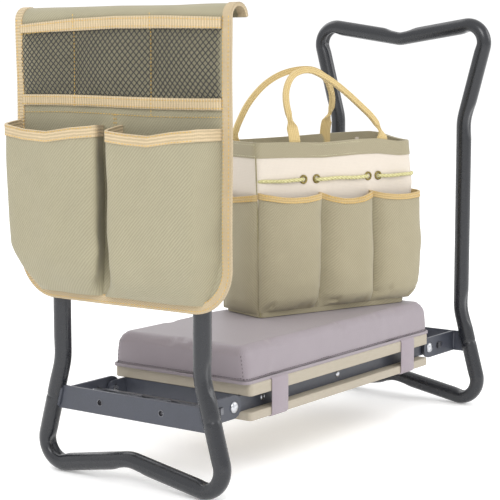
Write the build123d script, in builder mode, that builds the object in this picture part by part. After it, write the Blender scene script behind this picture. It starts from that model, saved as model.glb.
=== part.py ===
from build123d import *
import math
import os

# Garden kneeler seat: a padded board between two folding tube frames, with a tool pouch hung on
# the left handle and a tote bag standing on the pad. Millimetres, +Z up, standing on z = 0.
# X runs along the seat, from the pouch end to the plain end. Y runs across it, front is -Y.

# --- driving dimensions -------------------------------------------------------------------
frame_spacing = 540.0        # between the planes of the two tube frames
tube_d = 19.0
tube_wall = 1.2
waist_y = 94.1               # half the frame's width at its straight legs
top_corner_y = 127.2
foot_corner_y = 127.5
top_corner_z = 485.3         # corner points of the tube's centreline, before its bends
top_middle_z = 466.3
upper_waist_z = 363.0
lower_waist_z = 122.7
foot_corner_z = 3.2
foot_middle_z = 25.6
top_middle_r = 25.7          # bend radii of the centreline
top_corner_r = 21.8
waist_r = 61.8
foot_corner_r = 23.8
foot_middle_r = 41.2
joint_z = 80.7               # where the handle tube meets the foot tube
sleeve_length = 44.0
sleeve_wall = 1.0

pivot_z = 81.0
pivot_inset = 64.8           # from the frame's plane in to the pivot
bar_height = 25.0            # flat bar of the arms and cross plates
bar_thickness = 3.0
arm_y = 82.0                 # inner face of the arms
pivot_pin_r = 4.0
pivot_clearance = 0.06       # radial, between the pivot pin and the arm
pivot_head_r = 6.2
pivot_head_height = 2.2
side_gap = 0.2               # along the pivot, each side of the arm
plate_hole_r = 3.75
plate_hole_spacing = 83.0

slot_inset = 39.0            # from the frame's plane in to the middle of the lock slot
slot_length = 16.0
slot_height = 8.0
lock_travel = 6.0
lock_bar_depth = 5.0
lock_clearance = 0.5
lock_tab_stand = 2.0         # how far the lock bar's end stands out of the arm
guide_r = 2.2
guide_spacing = 40.0
spring_r = 4.2
spring_wire = 0.9
spring_turns = 7

board_length = 373.6
board_width = 187.2
board_corner_r = 5.0
board_edge = 0.8               # chamfer
top_board_thickness = 13.0
bottom_board_thickness = 9.3
bottom_board_z = 63.2
rail_height = 17.0
rail_thickness = 3.0
rail_overhang = 10.0         # past the pivot
end_plate_thickness = 2.5
fastener_pitch = 148.0
bolt_row_y = 60.0
bolt_pitch = 100.0
bolt_r = 2.5
bolt_head_r = 5.0
bolt_head_height = 2.0
rail_rivet_head = 1.2        # height of the head
rail_rivet_lip = 1.2         # past its shank, all round
rail_rivet_tail = 2.0        # past the rail, inside

pad_length = 383.0
pad_width = 167.6
pad_height = 39.0
pad_corner_r = 14.0
pad_edge_r = 9.0
cover_thickness = 1.0
strap_width = 30.0
strap_thickness = 1.4
strap_x = 135.0
closure_length = 60.0
closure_thickness = 1.2
strap_gap = 0.3              # between the strap and the boards

cloth = 2.0                  # thickness that cloth has here
panel_stand = 12.5           # from the frame's plane to the inner face of the pouch's panel
panel_width = 281.0
panel_bottom_z = 191.0
panel_corner_r = 48.0
panel_top_margin = 0.8       # cloth above the tube at the fold
binding_width = 10.0
binding_thickness = 1.0
flap_width = 150.0
flap_drop = 24.0             # how far the flap hangs straight before it slants back
flap_slant = 24.0
flap_tail = 22.0
net_top_z = 468.0
net_bottom_z = 403.0
net_width = 262.0
net_gap = 1.6
net_thickness = 1.0
tape_width = 10.0
tape_thickness = 1.2
pocket_top_z = 372.0
pocket_bottom_z = 203.0
pocket_depth = 44.0
pocket_foot_depth = 14.0
pocket_straight = 16.0
pocket_taper_z = 262.0
pocket_middle_y = 3.0        # where the two pockets meet, towards the back
pocket_gap = 4.0
pocket_tape_width = 12.0

tote_angle = -19.5
tote_x = 84.3                # from the middle of the seat
tote_y = 2.8
tote_length = 223.0
tote_depth = 76.0
tote_height = 202.0
tote_rim_length = 214.0
tote_rim_depth = 68.0
tote_lean = -6.0             # how far the rim stands along the bag from its base
tote_corner_r = 13.0
tote_stand = 0.5             # between the pad and the bag
base_board_thickness = 2.5
rim_band_height = 17.0
cream_band_height = 42.0
tote_pocket_foot = 6.0
front_dividers = (84.0, 163.0)
front_pocket_stand = 11.0
back_pocket_stand = 8.0
side_pocket_stand = 9.0
pocket_wall = 1.4
lobe_root = 14.0             # how far a pocket's solid reaches into the bag before it is cut
tote_tape_width = 9.0
handle_spacing = 134.0
handle_offset = 5.0
handle_width = 14.0
handle_thickness = 2.4
handle_sewn = 14.0
handle_rise = 82.0
handle_shoulder_r = 34.0
handle_crown = 0.72          # width of the arch at its top, as a share of its foot
handle_lean = 17.0           # degrees, each handle leans in over the bag
cord_r = 2.2
cord_z = 300.0
cord_bend_r = 3.6
eyelet_r = 5.3
eyelet_bore = 3.3
eyelet_offsets = (-48.0, -29.0, 48.0, 64.0)
eyelet_stand = 1.0

# --- worked out ---------------------------------------------------------------------------
tube_r = tube_d / 2
frame_x = frame_spacing / 2
pivot_x = frame_x - pivot_inset
slot_x = frame_x - slot_inset
plate_x = frame_x - bar_thickness / 2
board_top_z = bottom_board_z + bottom_board_thickness + rail_height + top_board_thickness
rail_z = bottom_board_z + bottom_board_thickness
washer_thickness = 1.3
rail_y = arm_y - side_gap - washer_thickness
arm_out_y = arm_y + bar_thickness
pad_z = board_top_z
pad_top_z = pad_z + pad_height
strap_in_y = board_width / 2 + strap_gap
panel_in = frame_x + panel_stand
panel_out = panel_in + cloth
pouch_reach = panel_out + pocket_depth + tape_thickness
frame_reach = frame_x + tube_r
centre_x = (pouch_reach - frame_reach) / 2
tote_z = pad_top_z + tote_stand
tote_top_z = tote_z + tote_height
rim_band_z = tote_top_z - rim_band_height
cream_band_z = rim_band_z - cream_band_height
SIDES = ((-1, "left"), (1, "right"))
DEPTHS = ((-1, "front"), (1, "back"))

os.makedirs("parts", exist_ok=True)


def save(piece, name):
    piece.part.label = name
    export_step(piece.part, f"parts/{name}.step")


def at_x(distance):
    """The place along X of something this far from the middle of the seat."""
    return centre_x + distance


# --- tube frames ---------------------------------------------------------------------------
def loop_corners(lift):
    half = [
        (top_corner_y, top_corner_z),
        (waist_y, upper_waist_z),
        (waist_y, lower_waist_z),
        (foot_corner_y, foot_corner_z),
    ]
    return [(y, z + lift) for y, z in half]


def lowest_centre():
    with BuildLine(Plane.YZ) as foot:
        corners = loop_corners(0)
        FilletPolyline(corners[2], corners[3], (0, foot_middle_z), radius=foot_corner_r)
    return foot.line.bounding_box().min.Z


lift = tube_r - lowest_centre()
leg_slope = (foot_corner_y - waist_y) / (lower_waist_z - foot_corner_z)
joint_y = waist_y + (lower_waist_z + lift - joint_z) * leg_slope


def mirrored(points):
    return [(-y, z) for y, z in reversed(points)]


def tube_along(side, points, radii, outer_r, inner_r):
    with BuildPart() as tube:
        with BuildLine(Plane.YZ.offset(at_x(side * frame_x))) as path:
            if radii:
                FilletPolyline(*points, radius=radii)
            else:
                Polyline(*points)
        with BuildSketch(Plane(origin=path.line @ 0, z_dir=path.line % 0)):
            Circle(outer_r)
            if inner_r:
                Circle(inner_r, mode=Mode.SUBTRACT)
        sweep(path=path.line)
    return tube


def handle_points():
    corners = loop_corners(lift)
    half = [(0, top_middle_z + lift), corners[0], corners[1], corners[2], (joint_y, joint_z)]
    return mirrored(half) + half[1:]


def foot_points():
    corners = loop_corners(lift)
    half = [(0, foot_middle_z + lift), corners[3], (joint_y, joint_z)]
    return mirrored(half) + half[1:]


handle_radii = [waist_r, waist_r, top_corner_r, top_middle_r, top_corner_r, waist_r, waist_r]
foot_radii = [foot_corner_r, foot_middle_r, foot_corner_r]
tube_bore_r = tube_r - tube_wall
tube_solid = {}

for side, name in SIDES:
    handle = tube_along(side, handle_points(), handle_radii, tube_r, tube_bore_r)
    save(handle, f"{name}_handle_tube")
    foot = tube_along(side, foot_points(), foot_radii, tube_r, tube_bore_r)
    save(foot, f"{name}_foot_tube")
    lower = tube_along(side, foot_points(), foot_radii, tube_r, 0)
    upper = tube_along(side, handle_points(), handle_radii, tube_r, 0)
    tube_solid[side] = lower.part + upper.part

    # a sleeve inside each leg joins the two tubes
    half_span = sleeve_length / 2
    run = math.hypot(leg_slope, 1)
    dy = half_span * leg_slope / run
    dz = half_span / run
    with BuildPart() as sleeves:
        for hand in (-1, 1):
            ends = [(hand * (joint_y + dy), joint_z - dz), (hand * (joint_y - dy), joint_z + dz)]
            piece = tube_along(side, ends, None, tube_bore_r, tube_bore_r - sleeve_wall)
            add(piece.part)
    save(sleeves, f"{name}_joint_sleeves")


# --- cross plates, arms and locks --------------------------------------------------------------
lock_rest_x = slot_x - (lock_bar_depth + lock_travel) / 2
lock_half_y = arm_out_y + lock_tab_stand

for side, name in SIDES:
    # flat bar across the frame, coped to the tube at each end
    with BuildPart() as plate:
        with Locations((at_x(side * frame_x), 0, pivot_z)):
            Box(bar_thickness, 2 * joint_y, bar_height)
        with Locations(*[(at_x(side * frame_x), y * plate_hole_spacing / 2, pivot_z) for y in (-1, 1)]):
            Cylinder(plate_hole_r, 3 * bar_thickness, rotation=(0, 90, 0), mode=Mode.SUBTRACT)
        with Locations(*[(at_x(side * frame_x), y * guide_spacing / 2, pivot_z) for y in (-1, 1)]):
            Cylinder(guide_r, 3 * bar_thickness, rotation=(0, 90, 0), mode=Mode.SUBTRACT)
        add(tube_solid[side], mode=Mode.SUBTRACT)
    save(plate, f"{name}_cross_plate")

    for hand, depth in DEPTHS:
        outer_y = hand * arm_out_y
        with BuildPart() as arm:
            with BuildSketch(Plane.XZ.offset(-min(hand * arm_y, outer_y))):
                reach = plate_x - pivot_x
                with Locations((at_x(side * (pivot_x + reach / 2)), pivot_z)):
                    Rectangle(reach, bar_height)
                with Locations((at_x(side * pivot_x), pivot_z)):
                    Circle(bar_height / 2)
                    Circle(pivot_pin_r + pivot_clearance, mode=Mode.SUBTRACT)
                with Locations((at_x(side * slot_x), pivot_z)):
                    SlotOverall(slot_length, slot_height, mode=Mode.SUBTRACT)
            extrude(amount=-bar_thickness)
            add(tube_solid[side], mode=Mode.SUBTRACT)
        save(arm, f"{name}_arm_{depth}")

    # lock bar across the two slots, pushed inwards by two springs on guide pins
    bar_height_z = slot_height - 2 * lock_clearance
    with BuildPart() as lock:
        with Locations((at_x(side * (lock_rest_x + lock_bar_depth / 2)), 0, pivot_z)):
            Box(lock_bar_depth, 2 * lock_half_y, bar_height_z)
        with Locations(*[(at_x(side * lock_rest_x), y * guide_spacing / 2, pivot_z) for y in (-1, 1)]):
            Cylinder(guide_r + lock_clearance, 4 * lock_bar_depth, rotation=(0, 90, 0),
                     mode=Mode.SUBTRACT)
    save(lock, f"{name}_lock_bar")

    with BuildPart() as guides:
        guide_inner = lock_rest_x - 2.0
        length = frame_x + bar_thickness / 2 - guide_inner
        for y in (-1, 1):
            middle = at_x(side * (guide_inner + length / 2))
            with Locations((middle, y * guide_spacing / 2, pivot_z)):
                Cylinder(guide_r, length, rotation=(0, 90, 0))
    save(guides, f"{name}_lock_guides")

    spring_start = lock_rest_x + lock_bar_depth + spring_wire
    spring_length = plate_x - spring_start - spring_wire
    with BuildPart() as springs:
        for y in (-1, 1):
            origin = (at_x(side * spring_start), y * guide_spacing / 2, pivot_z)
            with BuildLine() as coil:
                Helix(spring_length / spring_turns, spring_length, spring_r, center=origin,
                      direction=(side, 0, 0))
            with BuildSketch(Plane(origin=coil.line @ 0, z_dir=coil.line % 0)):
                Circle(spring_wire / 2)
            sweep(path=coil.line, is_frenet=True)
    save(springs, f"{name}_lock_springs")


# --- seat frame, boards and pivots ---------------------------------------------------------------
rail_end = pivot_x + rail_overhang
fastener_x = (-fastener_pitch, 0, fastener_pitch)

for hand, depth in DEPTHS:
    with BuildPart() as rail:
        with BuildSketch(Plane.XZ.offset(-hand * (rail_y - rail_thickness / 2))):
            with Locations((centre_x, rail_z + rail_height / 2)):
                RectangleRounded(2 * rail_end, rail_height, rail_height / 2 - 0.5)
            with Locations(*[(at_x(side * pivot_x), pivot_z) for side, _ in SIDES]):
                Circle(pivot_pin_r, mode=Mode.SUBTRACT)
            with Locations(*[(at_x(x), rail_z + rail_height / 2) for x in fastener_x]):
                Circle(bolt_r, mode=Mode.SUBTRACT)
        extrude(amount=rail_thickness / 2, both=True)
    save(rail, f"seat_rail_{depth}")

end_plate_x = board_length / 2 - end_plate_thickness / 2
for side, name in SIDES:
    with BuildPart() as end_plate:
        with Locations((at_x(side * end_plate_x), 0, rail_z + rail_height / 2)):
            Box(end_plate_thickness, 2 * (rail_y - rail_thickness), rail_height)
    save(end_plate, f"seat_end_plate_{name}")

# rivets that hold stiffener clips to the rails: a head outside, a shank through the rail
with BuildPart() as rail_rivets:
    for hand, _ in DEPTHS:
        for x in fastener_x:
            with BuildSketch(Plane.XZ.offset(-hand * rail_y)):
                with Locations((at_x(x), rail_z + rail_height / 2)):
                    Circle(bolt_r + rail_rivet_lip)
            extrude(amount=-hand * rail_rivet_head)
            with BuildSketch(Plane.XZ.offset(-hand * rail_y)):
                with Locations((at_x(x), rail_z + rail_height / 2)):
                    Circle(bolt_r)
            extrude(amount=hand * (rail_thickness + rail_rivet_tail))
save(rail_rivets, "rail_rivets")

pin_y = arm_out_y + side_gap
with BuildPart() as pivots:
    for hand, _ in DEPTHS:
        for side, _ in SIDES:
            with BuildSketch(Plane.XZ.offset(-hand * pin_y)):
                with Locations((at_x(side * pivot_x), pivot_z)):
                    Circle(pivot_head_r)
            extrude(amount=-hand * pivot_head_height)
            with BuildSketch(Plane.XZ.offset(-hand * pin_y)):
                with Locations((at_x(side * pivot_x), pivot_z)):
                    Circle(pivot_pin_r)
            extrude(amount=hand * (pin_y - rail_y + rail_thickness))
            with BuildSketch(Plane.XZ.offset(-hand * (rail_y - rail_thickness))):
                with Locations((at_x(side * pivot_x), pivot_z)):
                    Circle(pivot_head_r - 1)
            extrude(amount=hand * pivot_head_height)
save(pivots, "pivot_rivets")

with BuildPart() as washers:
    for hand, _ in DEPTHS:
        for side, _ in SIDES:
            with BuildSketch(Plane.XZ.offset(-hand * rail_y)):
                with Locations((at_x(side * pivot_x), pivot_z)):
                    Circle(rail_height / 2 - 0.5)
                    Circle(pivot_pin_r, mode=Mode.SUBTRACT)
            extrude(amount=-hand * washer_thickness)
save(washers, "pivot_washers")

bolt_places = [(at_x(x * bolt_pitch), y * bolt_row_y) for x in (-1, 0, 1) for y in (-1, 1)]
board_gap_z = rail_z + rail_height


def board(low_z, thickness, hole_r):
    with BuildPart() as panel:
        with BuildSketch(Plane.XY.offset(low_z)):
            with Locations((centre_x, 0)):
                RectangleRounded(board_length, board_width, board_corner_r)
            with Locations(*bolt_places):
                Circle(hole_r, mode=Mode.SUBTRACT)
        extrude(amount=thickness)
        chamfer(panel.faces().sort_by(Axis.Z)[-1].outer_wire().edges(), board_edge)
        chamfer(panel.faces().sort_by(Axis.Z)[0].outer_wire().edges(), board_edge)
    return panel


save(board(bottom_board_z, bottom_board_thickness, bolt_r), "seat_board_bottom")
save(board(board_gap_z, top_board_thickness, bolt_r), "seat_board_top")

# bolts through both boards, their heads under the lower one
with BuildPart() as bolts:
    with BuildSketch(Plane.XY.offset(bottom_board_z)):
        with Locations(*bolt_places):
            Circle(bolt_head_r)
    extrude(amount=-bolt_head_height)
    with BuildSketch(Plane.XY.offset(bottom_board_z)):
        with Locations(*bolt_places):
            Circle(bolt_r)
    extrude(amount=board_top_z - bottom_board_z)
save(bolts, "board_bolts")


# --- pad --------------------------------------------------------------------------------------
def pad_block(shrink):
    with BuildPart() as block:
        with BuildSketch(Plane.XY.offset(pad_z + shrink)):
            with Locations((centre_x, 0)):
                RectangleRounded(pad_length - 2 * shrink, pad_width - 2 * shrink, pad_corner_r - shrink)
        extrude(amount=pad_height - 2 * shrink)
        fillet(block.faces().sort_by(Axis.Z)[-1].edges(), pad_edge_r - shrink)
    return block


foam = pad_block(cover_thickness)
save(foam, "pad_foam")
cover = pad_block(0)
cover_part = cover.part - foam.part
with BuildPart() as pad_cover:
    add(cover_part)
save(pad_cover, "pad_cover")


def strap_outline(low_z):
    """The strap's path round the boards, from the pad's side down and underneath."""
    out_y = strap_in_y + strap_thickness
    top = board_top_z + strap_gap + strap_thickness
    return [
        (pad_width / 2, top),
        (out_y, top),
        (out_y, low_z - strap_thickness),
        (-out_y, low_z - strap_thickness),
        (-out_y, top),
        (-pad_width / 2, top),
        (-pad_width / 2, top - strap_thickness),
        (-strap_in_y, top - strap_thickness),
        (-strap_in_y, low_z),
        (strap_in_y, low_z),
        (strap_in_y, top - strap_thickness),
        (pad_width / 2, top - strap_thickness),
    ]


strap_low_z = bottom_board_z - strap_gap
for side, name in SIDES:
    with BuildPart() as strap:
        with BuildSketch(Plane.YZ.offset(at_x(side * strap_x))):
            with BuildLine():
                Polyline(*strap_outline(strap_low_z), close=True)
            make_face()
        extrude(amount=strap_width / 2, both=True)
    save(strap, f"pad_strap_{name}")
    with BuildPart() as closure:
        with Locations((at_x(side * strap_x), 0, strap_low_z - strap_thickness - closure_thickness / 2)):
            Box(strap_width - 2, closure_length, closure_thickness)
    save(closure, f"pad_closure_{name}")


# --- pouch ------------------------------------------------------------------------------------
fold_r = (panel_in - (frame_x - panel_stand)) / 2 - 1.0
fold_x = panel_in - fold_r
with BuildLine(Plane.YZ) as top_line:
    top_corners = loop_corners(lift)
    FilletPolyline(top_corners[1], top_corners[0], (0, top_middle_z + lift), radius=top_corner_r)
tube_top_z = top_line.line.bounding_box().max.Z + tube_r
fold_z = tube_top_z + panel_top_margin - fold_r


def outline_points(grow, top_z):
    """Corners of the pouch's panel seen from its end, down one side and up the other."""
    half = panel_width / 2 + grow
    low = panel_bottom_z - grow
    return [(-half, top_z), (-half, low), (half, low), (half, top_z)]


def left_x(distance):
    return at_x(-distance)


with BuildPart() as panel:
    with BuildSketch(Plane.YZ.offset(left_x(panel_out))):
        with BuildLine():
            corners = outline_points(0, fold_z)
            FilletPolyline(*corners, radius=panel_corner_r)
            Line(corners[-1], corners[0])
        make_face()
    extrude(amount=cloth)
    # over the handle, then the flap that comes back under it
    with BuildSketch(Plane.XZ.offset(-panel_width / 2)):
        with Locations((left_x(fold_x), fold_z)):
            Circle(fold_r + cloth)
            Circle(fold_r, mode=Mode.SUBTRACT)
        with Locations((left_x(fold_x), fold_z - fold_r - cloth)):
            Rectangle(3 * fold_r + 2 * cloth, 2 * (fold_r + cloth), mode=Mode.SUBTRACT)
    extrude(amount=panel_width)
save(panel, "pouch_panel")

flap_out = fold_x - fold_r - cloth
flap_z = fold_z - flap_drop
flap_back = panel_in - tape_thickness * 2
with BuildPart() as flap:
    with BuildSketch(Plane.XZ.offset(-flap_width / 2)):
        with BuildLine():
            Polyline(
                (left_x(flap_out), fold_z),
                (left_x(flap_out), flap_z),
                (left_x(flap_back - cloth), flap_z - flap_slant),
                (left_x(flap_back - cloth), flap_z - flap_slant - flap_tail),
                (left_x(flap_back), flap_z - flap_slant - flap_tail),
                (left_x(flap_back), flap_z - flap_slant),
                (left_x(flap_out + cloth), flap_z),
                (left_x(flap_out + cloth), fold_z),
                close=True,
            )
        make_face()
    extrude(amount=flap_width)
save(flap, "pouch_flap")

for strip, place in (("pouch_loop_strip", 0.5), ("pouch_hook_strip", 1.5)):
    with BuildPart() as grip:
        strip_z = flap_z - flap_slant - flap_tail / 2
        with Locations((left_x(panel_in - place * tape_thickness), 0, strip_z)):
            Box(tape_thickness, flap_width - 6, flap_tail - 4)
    save(grip, strip)

with BuildPart() as binding:
    with BuildSketch(Plane.YZ.offset(left_x(panel_out + binding_thickness))):
        for grow, mode in ((binding_thickness, Mode.ADD), (-binding_width, Mode.SUBTRACT)):
            with BuildLine():
                corners = outline_points(grow, fold_z)
                FilletPolyline(*corners, radius=panel_corner_r + grow)
                Line(corners[-1], corners[0])
            make_face(mode=mode)
    extrude(amount=cloth + 2 * binding_thickness)
    add(panel.part, mode=Mode.SUBTRACT)
save(binding, "pouch_edge_binding")

net_x = panel_out + net_gap + net_thickness / 2
net_middle_z = (net_top_z + net_bottom_z) / 2
with BuildPart() as net:
    with Locations((left_x(net_x), 0, net_middle_z)):
        Box(net_thickness, net_width - 2 * tape_thickness, net_top_z - net_bottom_z)
save(net, "pouch_net")

tape_x = panel_out + net_gap + net_thickness + tape_thickness / 2
with BuildPart() as net_top:
    with Locations((left_x(tape_x), 0, net_top_z - tape_width / 2)):
        Box(tape_thickness, net_width - 2 * tape_thickness, tape_width)
save(net_top, "pouch_net_top_tape")

# the lower tape sews the net down to the panel
with BuildPart() as net_foot:
    with Locations((left_x(panel_out + (net_gap + net_thickness) / 2), 0, net_bottom_z - tape_width / 2)):
        Box(net_gap + net_thickness, net_width - 2 * tape_thickness, tape_width)
save(net_foot, "pouch_net_bottom_tape")


def pocket_loft(low_y, high_y, inset, bottom_z, top_z):
    """A pocket that bows out from the panel, straight at its mouth and shallow at its foot."""
    levels = [
        (bottom_z, pocket_foot_depth),
        (pocket_taper_z, pocket_depth),
        (pocket_top_z - pocket_straight, pocket_depth),
        (top_z, pocket_depth),
    ]
    with BuildPart() as bow:
        for z, depth in levels:
            with BuildSketch(Plane.XY.offset(z)):
                with BuildLine():
                    ends = [(left_x(panel_out), low_y + inset), (left_x(panel_out), high_y - inset)]
                    middle = (left_x(panel_out + depth - inset), (low_y + high_y) / 2)
                    ThreePointArc(ends[0], middle, ends[1])
                    Line(ends[1], ends[0])
                make_face()
        loft(ruled=True)
    return bow


pocket_edge_y = panel_width / 2 - binding_width - 2 * tape_thickness
pocket_spans = {
    "back": (pocket_middle_y + pocket_gap / 2, pocket_edge_y),
    "front": (-pocket_edge_y, pocket_middle_y - pocket_gap / 2),
}
for depth, (low_y, high_y) in pocket_spans.items():
    outer = pocket_loft(low_y, high_y, 0, pocket_bottom_z, pocket_top_z)
    inner = pocket_loft(low_y, high_y, pocket_wall, pocket_bottom_z + pocket_wall, pocket_top_z + 1)
    with BuildPart() as pocket:
        add(outer.part)
        add(inner.part, mode=Mode.SUBTRACT)
        add(binding.part, mode=Mode.SUBTRACT)
    save(pocket, f"pouch_pocket_{depth}")
    with BuildPart() as tape:
        with BuildSketch(Plane.XY.offset(pocket_top_z - pocket_tape_width)):
            for grow in (tape_thickness, 0):
                with BuildLine():
                    start = (left_x(panel_out), low_y - grow)
                    stop = (left_x(panel_out), high_y + grow)
                    ThreePointArc(start, (left_x(panel_out + pocket_depth + grow),
                                          (low_y + high_y) / 2), stop)
                    Line(stop, start)
                make_face(mode=Mode.ADD if grow else Mode.SUBTRACT)
        extrude(amount=pocket_tape_width)
    save(tape, f"pouch_pocket_tape_{depth}")


# --- tote bag ---------------------------------------------------------------------------------
def tote_plane(z):
    angle = math.radians(tote_angle)
    return Plane(origin=(at_x(tote_x), tote_y, z), x_dir=(math.cos(angle), math.sin(angle), 0),
                 z_dir=(0, 0, 1))


def tote_half(z):
    share = (z - tote_z) / tote_height
    length = tote_length + (tote_rim_length - tote_length) * share
    depth = tote_depth + (tote_rim_depth - tote_depth) * share
    return length / 2, depth / 2, tote_lean * share


def tote_block(low_z, high_z, inset):
    with BuildPart() as block:
        for z in (low_z, high_z):
            half_length, half_depth, shift = tote_half(z)
            with BuildSketch(tote_plane(z)):
                with Locations((shift, 0)):
                    RectangleRounded(2 * (half_length - inset), 2 * (half_depth - inset),
                                     tote_corner_r - inset)
        loft(ruled=True)
    return block


def tote_ring(low_z, high_z, floor):
    with BuildPart() as ring:
        add(tote_block(low_z, high_z, 0).part)
        add(tote_block(low_z + floor, high_z, cloth).part, mode=Mode.SUBTRACT)
    return ring


tote_solid = tote_block(tote_z, tote_top_z, 0).part
save(tote_ring(tote_z, cream_band_z, cloth), "tote_body")
save(tote_ring(rim_band_z, tote_top_z, 0), "tote_rim_band")

_, cord_half_depth, cord_shift = tote_half(cord_z)
cord_half_length = tote_half(cord_z)[0]
eyelet_places = [cord_shift + offset for offset in eyelet_offsets]


def eyelet_plugs(radius, low, high):
    """Short rods through the front and back of the bag at the eyelets."""
    with BuildPart() as plugs:
        for hand in (-1, 1):
            for s in eyelet_places:
                face = tote_plane(cord_z)
                origin = face.from_local_coords((s, hand * (cord_half_depth + low), 0))
                out = face.from_local_coords((s, hand * (cord_half_depth + high), 0))
                with BuildSketch(Plane(origin=origin, z_dir=(out - origin).normalized())):
                    Circle(radius)
                extrude(amount=high - low)
    return plugs


band_ring = tote_ring(cream_band_z, rim_band_z, 0)
with BuildPart() as cream_band:
    add(band_ring.part)
    add(eyelet_plugs(eyelet_r - 1, -6, 6).part, mode=Mode.SUBTRACT)
save(cream_band, "tote_cream_band")

with BuildPart() as eyelets:
    add(eyelet_plugs(eyelet_r - 1, -cloth - 0.4, 0.4).part)
    add(eyelet_plugs(eyelet_r, 0.35, 0.35 + eyelet_stand).part)
    add(eyelet_plugs(eyelet_bore, -6, 6).part, mode=Mode.SUBTRACT)
save(eyelets, "tote_eyelets")

with BuildPart() as base_board:
    half_length, half_depth, _ = tote_half(tote_z)
    with BuildSketch(tote_plane(tote_z + cloth)):
        RectangleRounded(2 * (half_length - cloth - 2), 2 * (half_depth - cloth - 2), tote_corner_r - 4)
    extrude(amount=base_board_thickness)
save(base_board, "tote_base_board")

tote_faces = {
    "front": (tote_length, tote_depth / 2, front_pocket_stand, front_dividers),
    "back": (tote_length, tote_depth / 2, back_pocket_stand, front_dividers),
    "left": (tote_depth, tote_length / 2, side_pocket_stand, ()),
    "right": (tote_depth, tote_length / 2, side_pocket_stand, ()),
}
pocket_low_z = tote_z + tote_pocket_foot


def face_plane(name, z):
    """X runs along the bag's face and Y points out of it."""
    base = tote_plane(z)
    turn = {"front": 180, "back": 0, "left": 90, "right": -90}[name]
    return base.rotated((0, 0, turn))


def bows(name, low_z, high_z, grow, wall):
    """The bowed pockets on one face, as solid lobes that reach into the bag."""
    length, stand_off, stand, dividers = tote_faces[name]
    margin = tote_corner_r * 0.4
    marks = [margin, *dividers, length - margin]
    with BuildPart() as lobes:
        for low, high in zip(marks, marks[1:]):
            left = low - length / 2 + wall
            right = high - length / 2 - wall
            with BuildSketch(face_plane(name, low_z)):
                with BuildLine():
                    ThreePointArc((left, stand_off), ((left + right) / 2,
                                  stand_off + stand + grow - wall), (right, stand_off))
                    Polyline((right, stand_off), (right, stand_off - lobe_root),
                             (left, stand_off - lobe_root), (left, stand_off))
                make_face()
            extrude(amount=high_z - low_z)
    return lobes


tape_parts = []
for name in tote_faces:
    with BuildPart() as pockets:
        add(bows(name, pocket_low_z, cream_band_z, 0, 0).part)
        add(bows(name, pocket_low_z + pocket_wall, cream_band_z + 1, 0, pocket_wall).part,
            mode=Mode.SUBTRACT)
        add(tote_solid, mode=Mode.SUBTRACT)
        if name in ("left", "right"):
            add(bows("front", tote_z, cream_band_z, 0, 0).part, mode=Mode.SUBTRACT)
            add(bows("back", tote_z, cream_band_z, 0, 0).part, mode=Mode.SUBTRACT)
    save(pockets, f"tote_pockets_{name}")
    with BuildPart() as tape:
        add(bows(name, cream_band_z - tote_tape_width, cream_band_z, tape_thickness, 0).part)
        add(bows(name, cream_band_z - tote_tape_width - 1, cream_band_z + 1, 0, 0).part,
            mode=Mode.SUBTRACT)
        add(tote_solid, mode=Mode.SUBTRACT)
        if name in ("left", "right"):
            add(bows("front", tote_z, cream_band_z, tape_thickness, 0).part, mode=Mode.SUBTRACT)
            add(bows("back", tote_z, cream_band_z, tape_thickness, 0).part, mode=Mode.SUBTRACT)
    tape_parts.append(tape.part)

with BuildPart() as tapes:
    for piece in tape_parts:
        add(piece)
save(tapes, "tote_pocket_tapes")

for hand, depth in DEPTHS:
    _, rim_half_depth, rim_shift = tote_half(tote_top_z)
    base = tote_plane(tote_top_z)
    lean = math.radians(handle_lean)
    origin = base.from_local_coords((rim_shift + hand * -handle_offset,
                                     hand * (rim_half_depth + handle_thickness), 0))
    outward = Vector(*(base.y_dir * hand))
    upright = Vector(0, 0, 1) * math.cos(lean) - outward * math.sin(lean)
    arch_plane = Plane(origin=origin, x_dir=base.x_dir, z_dir=base.x_dir.cross(upright))
    half = handle_spacing / 2
    with BuildPart() as handle:
        with BuildLine(arch_plane) as arch:
            FilletPolyline((-half, 0), (-half * handle_crown, handle_rise), (half * handle_crown, handle_rise), (half, 0),
                           radius=handle_shoulder_r)
        with BuildSketch(Plane(origin=arch.line @ 0, x_dir=arch_plane.z_dir, z_dir=arch.line % 0)):
            Rectangle(handle_thickness, handle_width)
        sweep(path=arch.line)
        with BuildSketch(Plane(origin=origin, x_dir=base.x_dir, z_dir=base.y_dir * -1)):
            for end in (-half, half):
                with Locations((end, -handle_sewn / 2)):
                    Rectangle(handle_width, handle_sewn + 3)
        extrude(amount=handle_thickness / 2, both=True)
        add(tote_solid, mode=Mode.SUBTRACT)
    save(handle, f"tote_handle_{depth}")

# the drawcord: in and out through the eyelets, outside the bag along its ends
out_y = cord_half_depth + cord_r + eyelet_stand + 0.6
in_y = cord_half_depth - cloth - cord_r - 1.0
end_low = cord_shift - cord_half_length - cord_r - 0.6
end_high = cord_shift + cord_half_length + cord_r + 0.6
e1, e2, e3, e4 = eyelet_places


def cord_side(hand):
    """One face's route from the low end to the high end, apart from its corner points."""
    return [
        (e1, hand * out_y), (e1, hand * in_y), (e2, hand * in_y), (e2, hand * out_y),
        (e3, hand * out_y), (e3, hand * in_y), (e4, hand * in_y), (e4, hand * out_y),
    ]


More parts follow.
